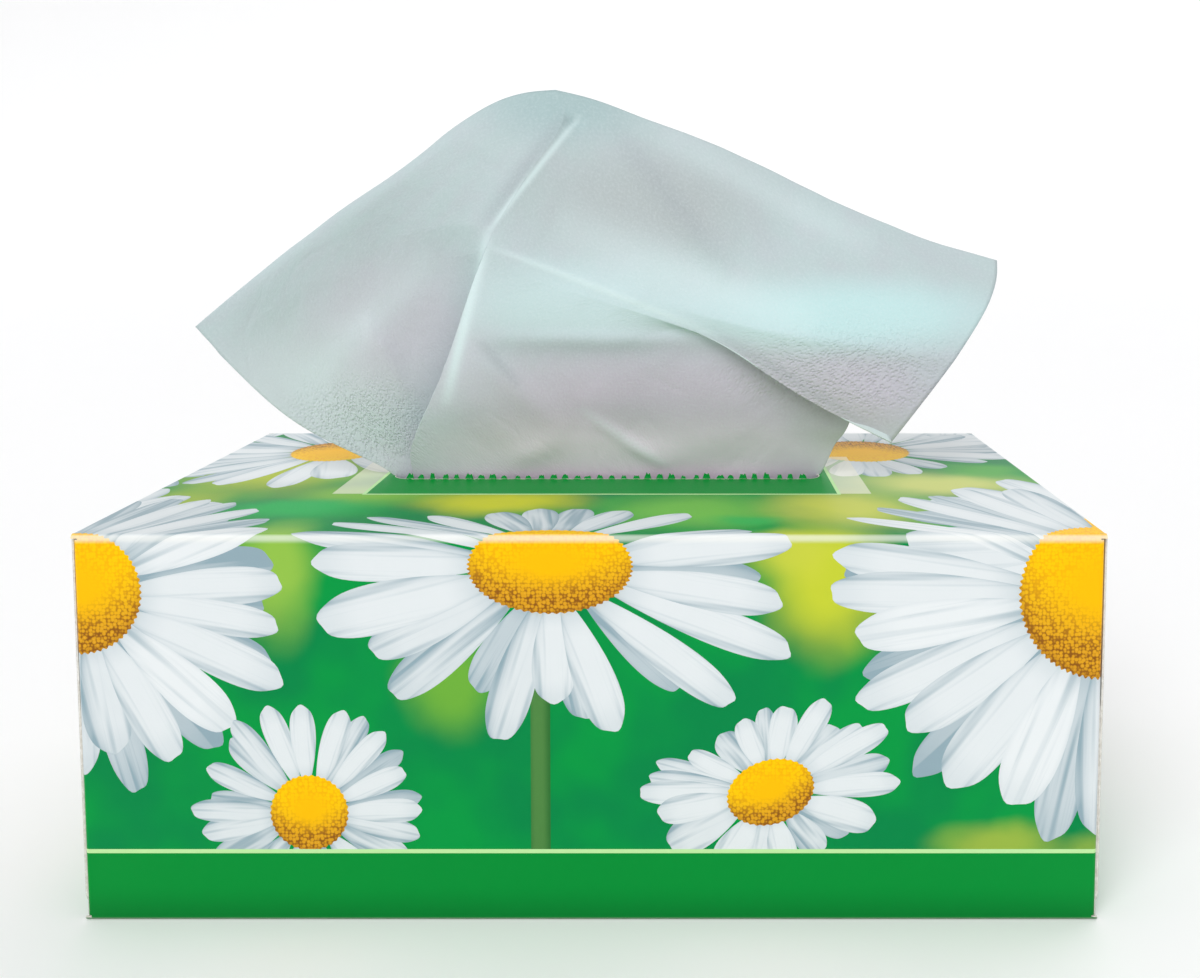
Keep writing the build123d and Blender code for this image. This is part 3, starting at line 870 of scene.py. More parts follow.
# ---- tissues ---------------------------------------------------------------------------------
# The popped sheet's net of control points, as (x, height above the carton's top, y). Each row runs
# from the sheet's left side edge to its right one, through the pleat whose front edge is the
# sixth point. Rows go from the edge that lies in the carton up to the free edge on top.
SHEET_ROWS = (
    # lying on the stack, folded once
    ((-103, -12.9, 6), (-86, -12.9, 7), (-68, -12.9, 6), (-51, -12.9, 7), (-34, -12.9, 6),
     (-17, -12.9, 6), (0, -12.9, 7), (17, -12.9, 6), (34, -12.9, 6), (52, -12.9, 6),
     (70, -12.9, 7), (87, -12.9, 6), (103, -12.9, 6)),
    ((-104, -12.8, 50), (-87, -12.8, 51), (-69, -12.8, 50), (-52, -12.8, 51), (-34, -12.8, 50),
     (-17, -12.8, 50), (0, -12.8, 51), (17, -12.8, 50), (35, -12.8, 50), (53, -12.8, 50),
     (71, -12.8, 51), (88, -12.8, 50), (104, -12.8, 50)),
    ((-104, -12.2, 49), (-87, -12.2, 50), (-69, -12.0, 49), (-52, -12.2, 50), (-34, -12.2, 49),
     (-17, -12.0, 49), (0, -12.2, 50), (17, -12.2, 49), (35, -12.0, 49), (53, -12.2, 49),
     (71, -12.2, 50), (88, -12.2, 49), (104, -12.2, 49)),
    ((-92, -12.2, 22), (-79, -12.0, 24), (-63, -11.5, 22), (-47, -12.2, 24), (-31, -12.2, 23),
     (-16, -11.6, 22), (-1, -12.2, 23), (15, -12.2, 22), (31, -11.6, 22), (47, -12.2, 23),
     (64, -12.2, 23), (80, -11.8, 22), (94, -12.2, 22)),
    ((-61, -11.8, 3), (-57, -11.0, 6), (-50, -10.6, 3), (-44, -11.8, 6), (-30, -11.6, 5),
     (-36, -11.2, 0), (-20, -11.6, 4), (-2, -11.2, 0), (14, -11.6, 4), (28, -11.0, 0),
     (42, -11.6, 4), (54, -11.0, 0), (63, -11.8, 3)),
    # in the slot
    ((-56.4, -3.0, -1.0), (-53, -3, -0.6), (-48, -3, 0.6), (-42, -3, 2.6), (-30, -3, 1.8),
     (-50, -3, -2.6), (-34, -3, -3.0), (-14, -3, -1.0), (6, -3, -2.4), (24, -3, -0.6),
     (38, -3, -2.2), (50, -3, -0.4), (56.0, -3, 0.4)),
    ((-58.2, 1.0, -1.8), (-54, 1.5, -1.4), (-49, 2, 0.2), (-41, 2, 2.6), (-28, 2, 1.6),
     (-53, 2, -3.8), (-34, 2, -4.2), (-14, 2, -2.4), (6, 2, -3.8), (25, 2, -2.0),
     (40, 2, -3.2), (52, 2, -1.4), (59.2, 1.5, -0.4)),
    # low, where the gathers open
    ((-67.4, 5.6, -2.0), (-64, 8, 0.5), (-57, 10, -0.5), (-46, 11, 2.6), (-26, 11, 2.0),
     (-53, 9, -5.4), (-37, 11, -6.2), (-15, 12, -7.4), (8, 11, -5.6), (28, 10, -6.4),
     (44, 9, -4.4), (54, 8, -3.0), (61.0, 6.5, -1.6)),
    ((-80.4, 12.2, -3.5), (-75, 17, -0.5), (-65, 21, -1.5), (-49, 23, 3.0), (-22, 23, 3.0),
     (-46.4, 21, -7.6), (-31, 22, -10.0), (-11, 22, -9.6), (11, 21, -10.2), (30, 19, -8.6),
     (45, 15.5, -7.0), (55, 12, -4.6), (62.6, 10, -3.0)),
    # the pocket's ridge
    ((-89.0, 19.0, -4.5), (-83, 27, -1.0), (-72, 33, -2.0), (-54, 36, 2.0), (-25, 37, 3.4),
     (-39.8, 37, -7.9), (-29, 38, -11.5), (-12, 39.5, -12.6), (8, 38.0, -12.2), (26, 34.5, -10.8),
     (40, 25, -8.6), (54, 16, -6.1), (64.5, 12, -5.0)),
    # above the ridge, and behind the flap further right
    ((-95.0, 25.0, -5.0), (-88, 34.4, -1.6), (-76, 42, -2.6), (-57, 47, 0.6), (-27, 50, 1.6),
     (-35.6, 51, -8.2), (-27.5, 46.5, -11.0), (-10, 45.0, -12.3), (8.5, 41.6, -12.5),
     (29, 40.0, -10.4), (46, 38, -6.4), (59, 34, -5.7), (69, 25, -5.3)),
    # the crease that runs into the flap's lower edge
    ((-99.6, 30.0, -5.4), (-91.5, 40.6, -2.4), (-79, 50, -3.2), (-59, 57, -1.4), (-36, 60, -1.0),
     (-31.0, 62, -8.2), (-25, 55.4, -10.3), (-9, 50.8, -11.5), (9, 45.6, -12.8), (28, 39.6, -13.4),
     (41, 30.2, -12.9), (57, 20.2, -12.2), (75.4, 10.8, -11.1)),
    # the foot of the bright band
    ((-102.8, 33.5, -5.7), (-93.3, 44.8, -3.0), (-80, 56, -3.8), (-59, 65, -2.6), (-38, 69, -3.2),
     (-28.8, 67, -7.9), (-24, 60.0, -9.6), (-8.5, 55.0, -10.5), (10, 49.4, -11.8),
     (30, 43.4, -13.5), (51, 38.8, -15.1), (72.5, 36.3, -14.7), (91.6, 33.0, -11.8)),
    # the head of the band
    ((-105.0, 36.5, -5.9), (-94.2, 48.2, -3.6), (-79, 61, -4.2), (-57.5, 73, -3.6), (-34, 79, -3.6),
     (-23.4, 76, -7.8), (-18, 70.0, -7.4), (-4, 64.0, -7.5), (13, 57.5, -8.2), (32, 50.5, -9.3),
     (56, 49.5, -10.4), (82, 48.8, -9.3), (100.8, 44.8, -6.8)),
    # the upper panel
    ((-107.2, 38.9, -6.0), (-94.5, 51, -3.8), (-77, 66, -4.2), (-53, 80.5, -4.0),
     (-28, 89, -3.4), (-16.6, 86.6, -7.2), (-9, 82.5, -5.4), (4, 78.0, -5.3), (21, 71.0, -5.7),
     (39, 63.5, -5.4), (61, 60.5, -5.0), (85, 56.6, -4.0), (104.6, 50.6, -1.0)),
    ((-108.4, 40.4, -6.0), (-94.6, 52.9, -3.4), (-74.8, 69, -3.6), (-50, 85.2, -3.4),
     (-27.5, 98.4, -3.0), (-9.4, 95.4, -5.0), (-1.5, 94.8, -3.2), (10, 91.2, -2.6), (27, 84.5, -2.0),
     (45, 77.0, -1.0), (63, 69.2, 0.6), (85.5, 61.6, 2.0), (106.8, 54.4, 4.0)),
    # the free edge on top
    ((-109.1, 41.1, -6.0), (-94.7, 54, -3.0), (-73.2, 70.3, -3.0), (-47.5, 88.6, -1.6),
     (-28.4, 102.9, -0.4), (-13.6, 104.1, 0.6), (-3.0, 101.6, 1.0), (10.5, 96.2, 1.0), (29, 89.6, 1.4),
     (47, 81.9, 2.0), (65, 72.8, 3.4), (86, 64.0, 5.0), (107.4, 58.2, 7.0)),
)
# Long soft folds: from and to as (x, height above the top), rise, width, and the first and last of
# SHEET_ROWS that they lie between.
FOLD_LINES = (
    ((-34, 38.5), (32, 38.5), 0.7, 2.2, 8, 11),
    ((-5, 18), (17, 2), 0.8, 1.5, 6, 10),
    ((-34, 36), (-10, 12), 0.8, 4.0, 6, 10),
    ((-30, 2), (-8, 13), 0.5, 3.6, 6, 10),
    ((-8, 13), (22, 4), 0.5, 3.6, 6, 10),
    ((30, 34), (58, 8), -0.9, 5.0, 6, 10),
    ((-28, 62), (26, 42), 0.35, 1.2, 9, 14),
    ((-66, 44), (-54, 20), 0.8, 2.5, 7, 17),
    ((-92, 44), (-58, 6), -1.2, 9.0, 7, 17),
    ((-44, 92), (-64, 36), -1.4, 11.0, 7, 17),
    ((-11, 96), (-5, 94), -1.2, 1.4, 14, 17),
    ((0, 92), (34, 52), 0.7, 3.5, 13, 17),
    ((20, 90), (70, 58), -0.8, 7.0, 13, 17),
    ((60, 74), (92, 50), 0.7, 5.0, 13, 17),
    ((48, 36), (80, 16), 0.7, 5.0, 11, 13),
)
# Painted light and shade along folds: the tissue is painted paler along a fold, partly for its doubled
# layers and partly as a painted highlight, and painted darker where it lies in another part's shadow:
# from and to as (x, height above the top), paleness on the line's right, width, and rows.
LIGHT_AND_SHADE_LINES = (
    ((-30.5, 66.5), (-6.5, 97), 0.85, 0.9, 12, 17),
    ((-33.0, 67.0), (-9.5, 97), -0.42, 2.6, 12, 17),
    ((-42.5, 20), (-30.3, 68), 0.8, 1.7, 7, 13),
    ((-30, 62.5), (30, 39.5), 0.5, 0.9, 10, 14),
    ((-14, 69), (56, 41), 0.35, 7.0, 10, 15),
    ((-34, 36.0), (30, 36.0), -0.3, 3.0, 7, 10),
    ((-7, 20), (18, 2), 0.3, 1.1, 6, 10),
    ((-33, 38), (-22, 26), -0.4, 1.2, 6, 10),
    ((28, 41), (74, 12.5), -0.3, 1.6, 10, 13),
    ((-86, 22), (-46, 60), 0.35, 5.0, 7, 17),
    ((0, 96), (34, 54), -0.22, 3.5, 13, 17),
    ((14, 92), (72, 62), 0.25, 4.0, 13, 17),
)
SHEET_WIDTH, SHEET_LENGTH = 215.0, 200.0
# Rows and points of SHEET_ROWS that the spline takes more than once, which sharpens it there.
SHARP_ROWS, SHARP_POINTS = (11, 11, 12), (5, 5)
PLEAT_POINT = 5  # the pleat's front edge
OPEN_ROW = 7  # the first row above the slot's gathers
# Scattered creases: seed, count, reach, height and width.
CRUMPLES = ((3, 30, 30.0, 0.9, 1.0), (4, 110, 12.0, 0.4, 0.5))


def spline_weights(count, samples, repeat):
    """Weights of a cubic B-spline's control points at even steps, one row for each step.

    A repeated point sharpens the curve there. A mirrored point past each end makes the curve start
    and stop at its end points.
    """
    order = np.sort(np.concatenate([np.arange(count), repeat]))
    total = len(order)
    at = np.linspace(0, total - 1, samples)
    start = np.minimum(at.astype(int), total - 2)
    f = (at - start)[:, None]
    inner = (3 * f ** 3 - 6 * f ** 2 + 4, -3 * f ** 3 + 3 * f ** 2 + 3 * f + 1)
    cubic = np.hstack([(1 - f) ** 3, *inner, f ** 3]) / 6
    padded = np.zeros((samples, total + 2))
    np.put_along_axis(padded, start[:, None] + np.arange(4), cubic, axis=1)
    padded[:, 1] += 2 * padded[:, 0]
    padded[:, 2] -= padded[:, 0]
    padded[:, -2] += 2 * padded[:, -1]
    padded[:, -3] -= padded[:, -1]
    weights = np.zeros((samples, count))
    np.add.at(weights.T, order, padded[:, 1:-1].T)
    return weights


def grid_normals(points):
    """Unit normals of a grid of points, from its two central differences."""
    across = np.gradient(points, axis=1)
    along = np.gradient(points, axis=0)
    normals = np.cross(across, along)
    return normals / np.maximum(np.linalg.norm(normals, axis=2, keepdims=True), 1e-9)


def crumple(w, l, seed, count, reach, height, width):
    """Soft creases scattered over the flat sheet.

    Each is height * sqrt(d^2 + width^2) / reach * exp(-(r / reach)^2), where d is the distance
    across its line and r from its middle; about half of them are hollow.
    """
    draw = np.random.default_rng(seed)
    total = np.zeros(w.shape)
    for _ in range(count):
        at_w, at_l = draw.uniform(0, SHEET_WIDTH), draw.uniform(0.3, 1.05) * SHEET_LENGTH
        turn = draw.uniform(0, math.pi)
        size = reach * draw.uniform(0.6, 1.5)
        d = (w - at_w) * math.cos(turn) + (l - at_l) * math.sin(turn)
        r2 = ((w - at_w) ** 2 + (l - at_l) ** 2) / size ** 2
        total += draw.choice((-1, 1)) * height * np.sqrt(d * d + width * width) / size * np.exp(-r2)
    return total


def flat_length(points, axis):
    """How far each point lies along its own grid line, as a share of that line's length."""
    steps = np.linalg.norm(np.diff(points, axis=axis), axis=2)
    start = np.zeros_like(np.take(steps, [0], axis=axis))
    far = np.concatenate([start, np.cumsum(steps, axis=axis)], axis=axis)
    return far / np.take(far, [-1], axis=axis)


def across_line(x, height, start, stop):
    """The distance across a line seen from the front, and 0 at its ends rising to 1 between."""
    (x0, h0), (x1, h1) = start, stop
    size = math.hypot(x1 - x0, h1 - h0)
    t = ((x - x0) * (x1 - x0) + (height - h0) * (h1 - h0)) / size ** 2
    d = ((x - x0) * (h1 - h0) - (height - h0) * (x1 - x0)) / size
    return d, np.clip(1 - (2 * t - 1) ** 2, 0, 1)


def line_shares(lines, x, height, up, ends):
    """What each line of a table like FOLD_LINES adds at each point, one line after another.

    The power ends says how the line fades towards its two ends.
    """
    for start, stop, rise, width, low, high in lines:
        d, taper = across_line(x, height, start, stop)
        rows = up[:, low:high].sum(axis=1)[:, None]
        yield rise * np.exp(-(d / width) ** 2) * taper ** ends * rows


def popped_sheet(crumpled, columns=230, rows=205):
    """The sheet's middle surface: the spline of SHEET_ROWS plus creases along its normal.

    Also gives where each point lies on the flat sheet, across it and along it, and the painted light and
    shade along its folds.
    """
    net = np.array(SHEET_ROWS, float)
    up = spline_weights(len(net), rows, SHARP_ROWS)
    side = spline_weights(len(net[0]), columns, SHARP_POINTS)
    points = np.einsum("ri,cj,ijk->rck", up, side, net)
    points = points[:, :, [0, 2, 1]]
    points[:, :, 2] += HEIGHT
    w, l = flat_length(points, 1) * SHEET_WIDTH, flat_length(points, 0) * SHEET_LENGTH
    lift = sum(crumple(w, l, *each) for each in CRUMPLES)
    open_share, off_pleat = up[:, OPEN_ROW:].sum(axis=1), 1 - side[:, PLEAT_POINT]
    lift *= crumpled * np.outer(open_share, off_pleat)  # none in the carton or on the sharp fold
    x, height = points[:, :, 0], points[:, :, 2] - HEIGHT
    lift = sum(line_shares(FOLD_LINES, x, height, up, 1.0), lift)
    # painted highlight and painted shade along the folds
    fold_light_and_shade = sum(line_shares(LIGHT_AND_SHADE_LINES, x, height, up, 0.5), np.zeros(w.shape))
    points += grid_normals(points) * lift[:, :, None]
    return points, w, l, np.clip(fold_light_and_shade, -1, 1)


def closed_sheet(points, thickness):
    """Both faces of a thin sheet and its rim, from its middle surface, as points and quads."""
    rows, columns, _ = points.shape
    normals = grid_normals(points) * thickness / 2
    index = np.arange(rows * columns).reshape(rows, columns)
    a, b, c, d = index[:-1, :-1], index[:-1, 1:], index[1:, 1:], index[1:, :-1]
    face = np.stack([a, b, c, d], axis=2).reshape(-1, 4)
    rim = np.concatenate([index[0, :-1], index[:-1, -1], index[-1, :0:-1], index[:0:-1, 0]])
    ahead = np.roll(rim, -1)
    count = rows * columns
    edge = np.column_stack([ahead, rim, rim + count, ahead + count])
    quads = np.vstack([face, face[:, ::-1] + count, edge])
    both = np.vstack([(points + normals).reshape(-1, 3), (points - normals).reshape(-1, 3)])
    return both, quads


# Painted light and shade on the tissue, given as cool and warm tints: (x, y, z) in metres, reach and
# tint.
TISSUE_LIGHT_AND_SHADE = (
    ((-0.080, -0.003, 0.112), (0.030, 0.05, 0.022), (210, 219, 222)),
    ((-0.056, -0.003, 0.130), (0.026, 0.05, 0.022), (204, 202, 211)),
    ((0.012, -0.008, 0.108), (0.060, 0.02, 0.022), (205, 192, 209)),
    ((0.006, -0.005, 0.092), (0.064, 0.03, 0.014), (250, 232, 248)),
    ((0.064, -0.014, 0.113), (0.032, 0.02, 0.014), (199, 194, 207)),
    ((0.012, -0.006, 0.163), (0.034, 0.05, 0.016), (179, 187, 188)),
    ((-0.004, -0.012, 0.137), (0.040, 0.02, 0.012), (199, 221, 222)),
    ((0.066, -0.012, 0.134), (0.045, 0.02, 0.010), (194, 228, 228)),
    ((-0.012, 0.000, 0.190), (0.024, 0.05, 0.012), (166, 190, 191)),
)


def tissue_material(cool, pale):
    """Facial tissue: painted light and shade as cool and warm parts, folds painted paler and darker,
    fine fibre, and an embossed grain in places.
    """
    shader = Shader("open_tissue")
    _, _, sheet = shader.uv("Sheet")
    place = shader.place()
    fibre = shader.noise(sheet, 1.4, 5.0, 0.65)
    mottle = shader.noise(sheet, 0.12, 3.0)
    front = shader.attribute("front")
    grain = {"Vector": sheet, "Scale": 1.1, "Randomness": 0.8}
    dots = shader.node("ShaderNodeTexVoronoi", None, grain)
    colour = shader.mix(mottle.ramp(0.35, 0.7), cool, pale)
    # painted light and shade: each tint is laid over the sheet's front where it should look lit or
    # shaded
    for centre, reach, tone in TISSUE_LIGHT_AND_SHADE:
        cover = shader.spot(place, centre, reach) * front * 0.9
        colour = shader.mix(cover, colour, rgb(*tone))
    # painted highlight on the pale side of a fold line, painted shade on its dark side
    pale = shader.attribute("pale")
    colour = shader.mix(pale.math("MAXIMUM", 0.0) * front, colour, rgb(222, 240, 241))
    colour = shader.mix(pale.math("MINIMUM", 0.0) * front * -1, colour, rgb(150, 158, 164))
    colour = shader.mix((1 - front) * 0.5, colour, rgb(222, 234, 235))
    colour = shader.mix(fibre.ramp(0.4, 0.75) * 0.2, colour, rgb(226, 234, 236))
    embossed = shader.spot(place, (-0.068, 0, 0.102), (0.020, 0.05, 0.014))
    embossed = embossed + shader.spot(place, (0.066, -0.015, 0.119), (0.034, 0.05, 0.013))
    creases = (shader.noise(sheet, 0.045) - 0.5).math("ABSOLUTE").ramp(0.0, 0.07)
    height = fibre * 0.3 + dots.ramp(0.1, 0.7) * (embossed + 0.1) + creases * 0.25
    return shader.finish(
        Base_Color=colour,
        Roughness=fibre * 0.1 + 0.82,
        Specular_IOR_Level=0.2,
        Normal=shader.bump(height, 0.0002),
    )


STACK_INSET = 1.2  # leaves room for the folds inside the block's sides


def stack_profile(draw, layers):
    """The section of the stack as (y, z), anticlockwise, with a round fold for each layer.

    A fold stands out by 0.4 of its layer's height, and each layer wanders in or out by up to
    0.8 mm.
    """
    low, high = BLOCK_LOW[[1, 2]] + (STACK_INSET, 0.0), BLOCK_HIGH[[1, 2]] - (STACK_INSET, 0.0)
    pitch = (high[1] - low[1]) / layers
    a = np.linspace(-math.pi / 2, math.pi / 2, 6)[:-1]
    z = (low[1] + pitch * (np.arange(layers)[:, None] + 0.5 + np.sin(a) / 2)).ravel()
    wander = np.repeat(draw.uniform(-0.8, 0.5, layers), len(a))
    out = wander + np.tile(np.cos(a), layers) * pitch * 0.4
    right = np.column_stack([high[0] + out, z])
    left = np.column_stack([low[0] - out[::-1], z])
    return np.vstack([right, left[::-1]])


def stack_surface(layers):
    """The stack: its section carried along x, drawn in a little at both cut ends."""
    draw = np.random.default_rng(11)
    profile = stack_profile(draw, layers)
    x = np.array([0.0, 0.4, 1.5, 6.0, 30.0])
    x = np.concatenate([BLOCK_LOW[0] + x, (BLOCK_HIGH[0] - x)[::-1]])
    draw_in = np.array([0.96, 0.985, 0.997, 1.0, 1.0])
    scale = np.concatenate([draw_in, draw_in[::-1]])[:, None]
    along = np.broadcast_to(x[:, None], (len(x), len(profile)))
    height = np.broadcast_to(profile[:, 1], (len(x), len(profile)))
    ring = np.stack([along, profile[:, 0] * scale, height], axis=2)
    count = len(profile)
    index = np.arange(len(x) * count).reshape(len(x), count)
    ahead = np.roll(index, -1, axis=1)
    quads = np.stack([index[:-1], ahead[:-1], ahead[1:], index[1:]], axis=2).reshape(-1, 4)
    pair = np.arange(count // 2 - 1)
    near = np.column_stack([pair, count - 1 - pair, count - 2 - pair, pair + 1])
    far = near[:, ::-1] + (len(x) - 1) * count
    return ring.reshape(-1, 3), np.vstack([quads, near, far]).tolist()


def stack_material():
    """Folded tissue seen from its side: fine level layers and fibre."""
    shader = Shader("stacked_tissue")
    place = shader.place()
    layered = shader.stretch(place, (60.0, 60.0, 1500.0))
    layers = shader.noise(layered, 1.0, 3.0, 0.6)
    colour = shader.mix(layers.ramp(0.35, 0.65) * 0.6, rgb(238, 242, 243), rgb(206, 214, 218))
    relief = shader.bump(layers, 0.0002)
    return shader.finish(Base_Color=colour, Roughness=layers * 0.1 + 0.85, Normal=relief)


# ---- torn ties round the slot ------------------------------------------------------------------
def torn_tie(draw, x, side):
    """A tongue of board left on a torn tie, curled up by the sheet that was pulled past it.

    With s from -1 to 1 across it and t from 0 to 1 along it, it narrows as 1 - 0.45 t^2, runs
    out over the slot by reach * t * (1 - 0.4 t), and rises by rise * t^1.6 with a ragged tip.
    """
    s, t = np.meshgrid(np.linspace(-1, 1, TIE_COLUMNS), np.linspace(0, 1, TIE_ROWS))
    half, reach, rise = draw.uniform(0.7, 1.15), draw.uniform(0.6, 0.9), draw.uniform(0.7, 1.5)
    ragged = 1 + 0.25 * draw.uniform(-1, 1, s.shape[1]) * t
    along = (reach * t * (1 - 0.4 * t) - TIE_ROOT) * ragged
    points = np.stack([
        x + draw.uniform(-0.3, 0.3) + s * half * (1 - 0.45 * t ** 2),
        side * (SLOT_WIDTH / 2 - along),
        HEIGHT + 0.03 + rise * t ** 1.6 * ragged,
    ], axis=2)
    return points if side < 0 else points[:, ::-1]


def torn_ties():
    """Every torn tie along both long sides of the slot: points, quads and how many ties."""
    draw = np.random.default_rng(21)
    points, quads, total = [], [], 0
    for x in TIE_PLACES:
        for side in (-1, 1):
            middle = torn_tie(draw, x, side)
            both, faces = closed_sheet(middle, TIE_THICKNESS)
            points.append(both)
            quads.append(faces + total)
            total += len(both)
    return np.vstack(points), np.vstack(quads), len(points)


# ---- settings --------------------------------------------------------------------------------
def tint(name, description, red, green, blue):
    """A colour property whose default is given as it looks on a screen."""
    default = rgb(red, green, blue)
    return FloatVectorProperty(
        name=name, description=description, subtype="COLOR", size=4, min=0, max=1, default=default)


class PrintSettings(PropertyGroup):
    """The inks of the print"""

    field_cool: tint("Cool green", "Meadow in shade", 0, 134, 70)
    field_fresh: tint("Fresh green", "Meadow in light", 0, 152, 66)
    petal: tint("Petal", "Petals that face the light", 235, 239, 240)
    petal_shade: tint("Petal shade", "Petals turned away or behind others", 146, 170, 180)
    disc: tint("Disc", "The smooth middle of a daisy", 255, 203, 0)
    disc_gap: tint("Disc gaps", "Between the florets on a disc's shaded side", 142, 88, 24)
    stem: tint("Stem", "The light middle of a stem", 80, 134, 68)
    band: tint("Band", "The flat band round the foot of the carton", 0, 142, 54)
    panel: tint("Slot panel", "The flat panel round the slot", 0, 146, 56)
    line: tint("Line", "The thin line round the panel and over the band", 196, 238, 168)
    veil: tint("Veil", "The pale bars beside the slot panel", 250, 246, 226)
    veil_cover: FloatProperty(
        name="Veil cover", description="How far the pale bars hide what is under them",
        default=0.55, min=0, max=1, subtype="FACTOR")


class TissueSettings(PropertyGroup):
    """The popped sheet and the stack inside the carton"""

    cool: tint("Cool tissue", "The tissue's main tone", 187, 203, 204)
    pale: tint("Pale tissue", "The tone of its softer patches", 188, 200, 203)
    thickness: FloatProperty(
        name="Sheet thickness", description="All plies of the popped sheet together",
        default=0.22 * MM, min=0.05 * MM, max=1.0 * MM, unit="LENGTH")
    crumple: FloatProperty(
        name="Crumple", description="Height of the small creases, as a share of their usual height",
        default=1.0, min=0, max=3, subtype="FACTOR")
    layers: IntProperty(
        name="Folds in the stack", description="Folded edges that show on the side of the stack",
        default=46, min=10, max=120)


class StudioSettings(PropertyGroup):
    """The light, the floor and the camera"""

    sky: FloatProperty(
        name="Sky", description="Strength of the even light from all round",
        default=0.63, min=0, max=5)
    key: FloatProperty(
        name="Key light", description="Strength of the broad light from the front left",
        default=1.28, min=0, max=20)
    key_spread: FloatProperty(
        name="Key spread", description="Angle that the key light fills, which softens its shadows",
        default=math.radians(35), min=0, max=math.pi, subtype="ANGLE")
    floor_radius: FloatProperty(
        name="Floor radius", description="How far the level part of the floor runs",
        default=2.6, min=0.5, max=20, unit="LENGTH")
    camera_place: FloatVectorProperty(
        name="Camera place", description="Where the camera stands",
        default=(0.0215, -0.2918, 0.158), subtype="TRANSLATION", unit="LENGTH")
    camera_tilt: FloatProperty(
        name="Camera tilt", description="How far the camera looks down from level",
        default=math.radians(4), subtype="ANGLE")
    lens: FloatProperty(
        name="Lens", description="Focal length of the camera", default=32.4, min=10, max=300,
        unit="CAMERA")


# ---- operators -------------------------------------------------------------------------------
def settle(piece, slot, *replaced):
    """Puts a piece on the body and hides the nodes that it stands for."""
    if not piece.data.polygons:
        raise RuntimeError(piece.name + " came out empty")
    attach(piece, BODY)
    if replaced:
        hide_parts(*replaced)


class TISSUEBOX_OT_print(Operator):
    """Lay the print on every outer panel of the carton, and finish the bare board"""

    bl_idname = "tissue_box.print_carton"
    bl_label = "Print the carton"

    def execute(self, context):
        materials = print_materials(context.scene.tissue_box_print)
        shapes, flat, triangles, top, veil = cut_blank()
        names = panel_names(flat, triangles)
        for name in np.unique(names):
            here = names == name
            cut = (shapes, flat, triangles[here], top[here], veil[here])
            settle(print_piece("print_" + str(name), *cut, materials), "printed_board")
        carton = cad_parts["carton"]
        carton.data.materials.clear()
        carton.data.materials.append(board_material())
        return {"FINISHED"}


class TISSUEBOX_OT_ties(Operator):
    """Stand the torn ties of the perforation up along both sides of the slot"""

    bl_idname = "tissue_box.tear_ties"
    bl_label = "Tear the ties"

    def execute(self, context):
        ink = context.scene.tissue_box_print
        points, quads, count = torn_ties()
        coated = flat_print(ink, "tie_print", ink.panel)
        ties = make_mesh("torn_ties", points, quads.tolist(), [coated, board_material()])
        each = len(quads) // count
        printed = (TIE_ROWS - 1) * (TIE_COLUMNS - 1)
        finish = np.tile(np.where(np.arange(each) < printed, 0, 1), count).astype(np.int32)
        ties.data.polygons.foreach_set("material_index", finish)
        set_uv(ties.data, "Blank", points[quads.ravel(), :2] - (0.0, HALF_WIDTH))
        settle(ties, "printed_board")
        return {"FINISHED"}


class TISSUEBOX_OT_stack(Operator):
    """Build the stack of folded tissues inside the carton"""

    bl_idname = "tissue_box.stack_tissues"
    bl_label = "Stack the tissues"

    def execute(self, context):
        points, faces = stack_surface(context.scene.tissue_box_tissue.layers)
        stack = make_mesh("stack_of_tissues", points, faces, [stack_material()])
        settle(stack, "stacked_tissue", "tissue_block")
        return {"FINISHED"}


class TISSUEBOX_OT_sheet(Operator):
    """Build the popped sheet, which stands up through the slot"""

    bl_idname = "tissue_box.pop_sheet"
    bl_label = "Pop the sheet"

    def execute(self, context):
        tissue = context.scene.tissue_box_tissue
        middle, w, l, fold_light_and_shade = popped_sheet(tissue.crumple)
        points, quads = closed_sheet(middle, tissue.thickness / MM)
        finish = tissue_material(tuple(tissue.cool), tuple(tissue.pale))
        sheet = make_mesh("popped_tissue", points, quads.tolist(), [finish])
        place = np.tile(np.column_stack([w.ravel(), l.ravel()]), (2, 1))
        set_uv(sheet.data, "Sheet", place[quads.ravel()])
        on_front = (len(w) - 1) * (len(w[0]) - 1)
        set_face_values(sheet.data, "front", np.arange(len(quads)) < on_front)
        pale = sheet.data.attributes.new("pale", "FLOAT", "POINT")
        pale.data.foreach_set("value", np.tile(fold_light_and_shade.ravel(), 2).astype(np.float32))
        settle(sheet, "open_tissue", "leading_tissue")
        return {"FINISHED"}


# ---- studio ----------------------------------------------------------------------------------
KEY_WAY, KEY_COLOUR = (-0.4, -0.75, 0.9), (0.98, 1.0, 1.0)
BACK_WAY, BACK_COLOUR = (0.7, 0.9, 0.8), (1.0, 1.0, 1.0)
BACK_STRENGTH, BACK_SPREAD = 0.45, math.radians(50)
SKY_COLOUR = (1.0, 0.99, 1.0, 1.0)
FLOOR_RISE = 1500.0
SENSOR_WIDTH = 36.0
CAMERA_SHIFT = (-0.072, -0.16)  # as shares of the frame's width


def sun_light(name, way, strength, spread, colour):
    """A far, broad light that comes from the given direction."""
    data = bpy.data.lights.new(name, "SUN")
    data.energy, data.angle, data.color = strength, spread, colour
    light = bpy.data.objects.new(name, data)
    light.rotation_euler = Vector(way).to_track_quat("Z", "Y").to_euler()
    bpy.context.scene.collection.objects.link(light)


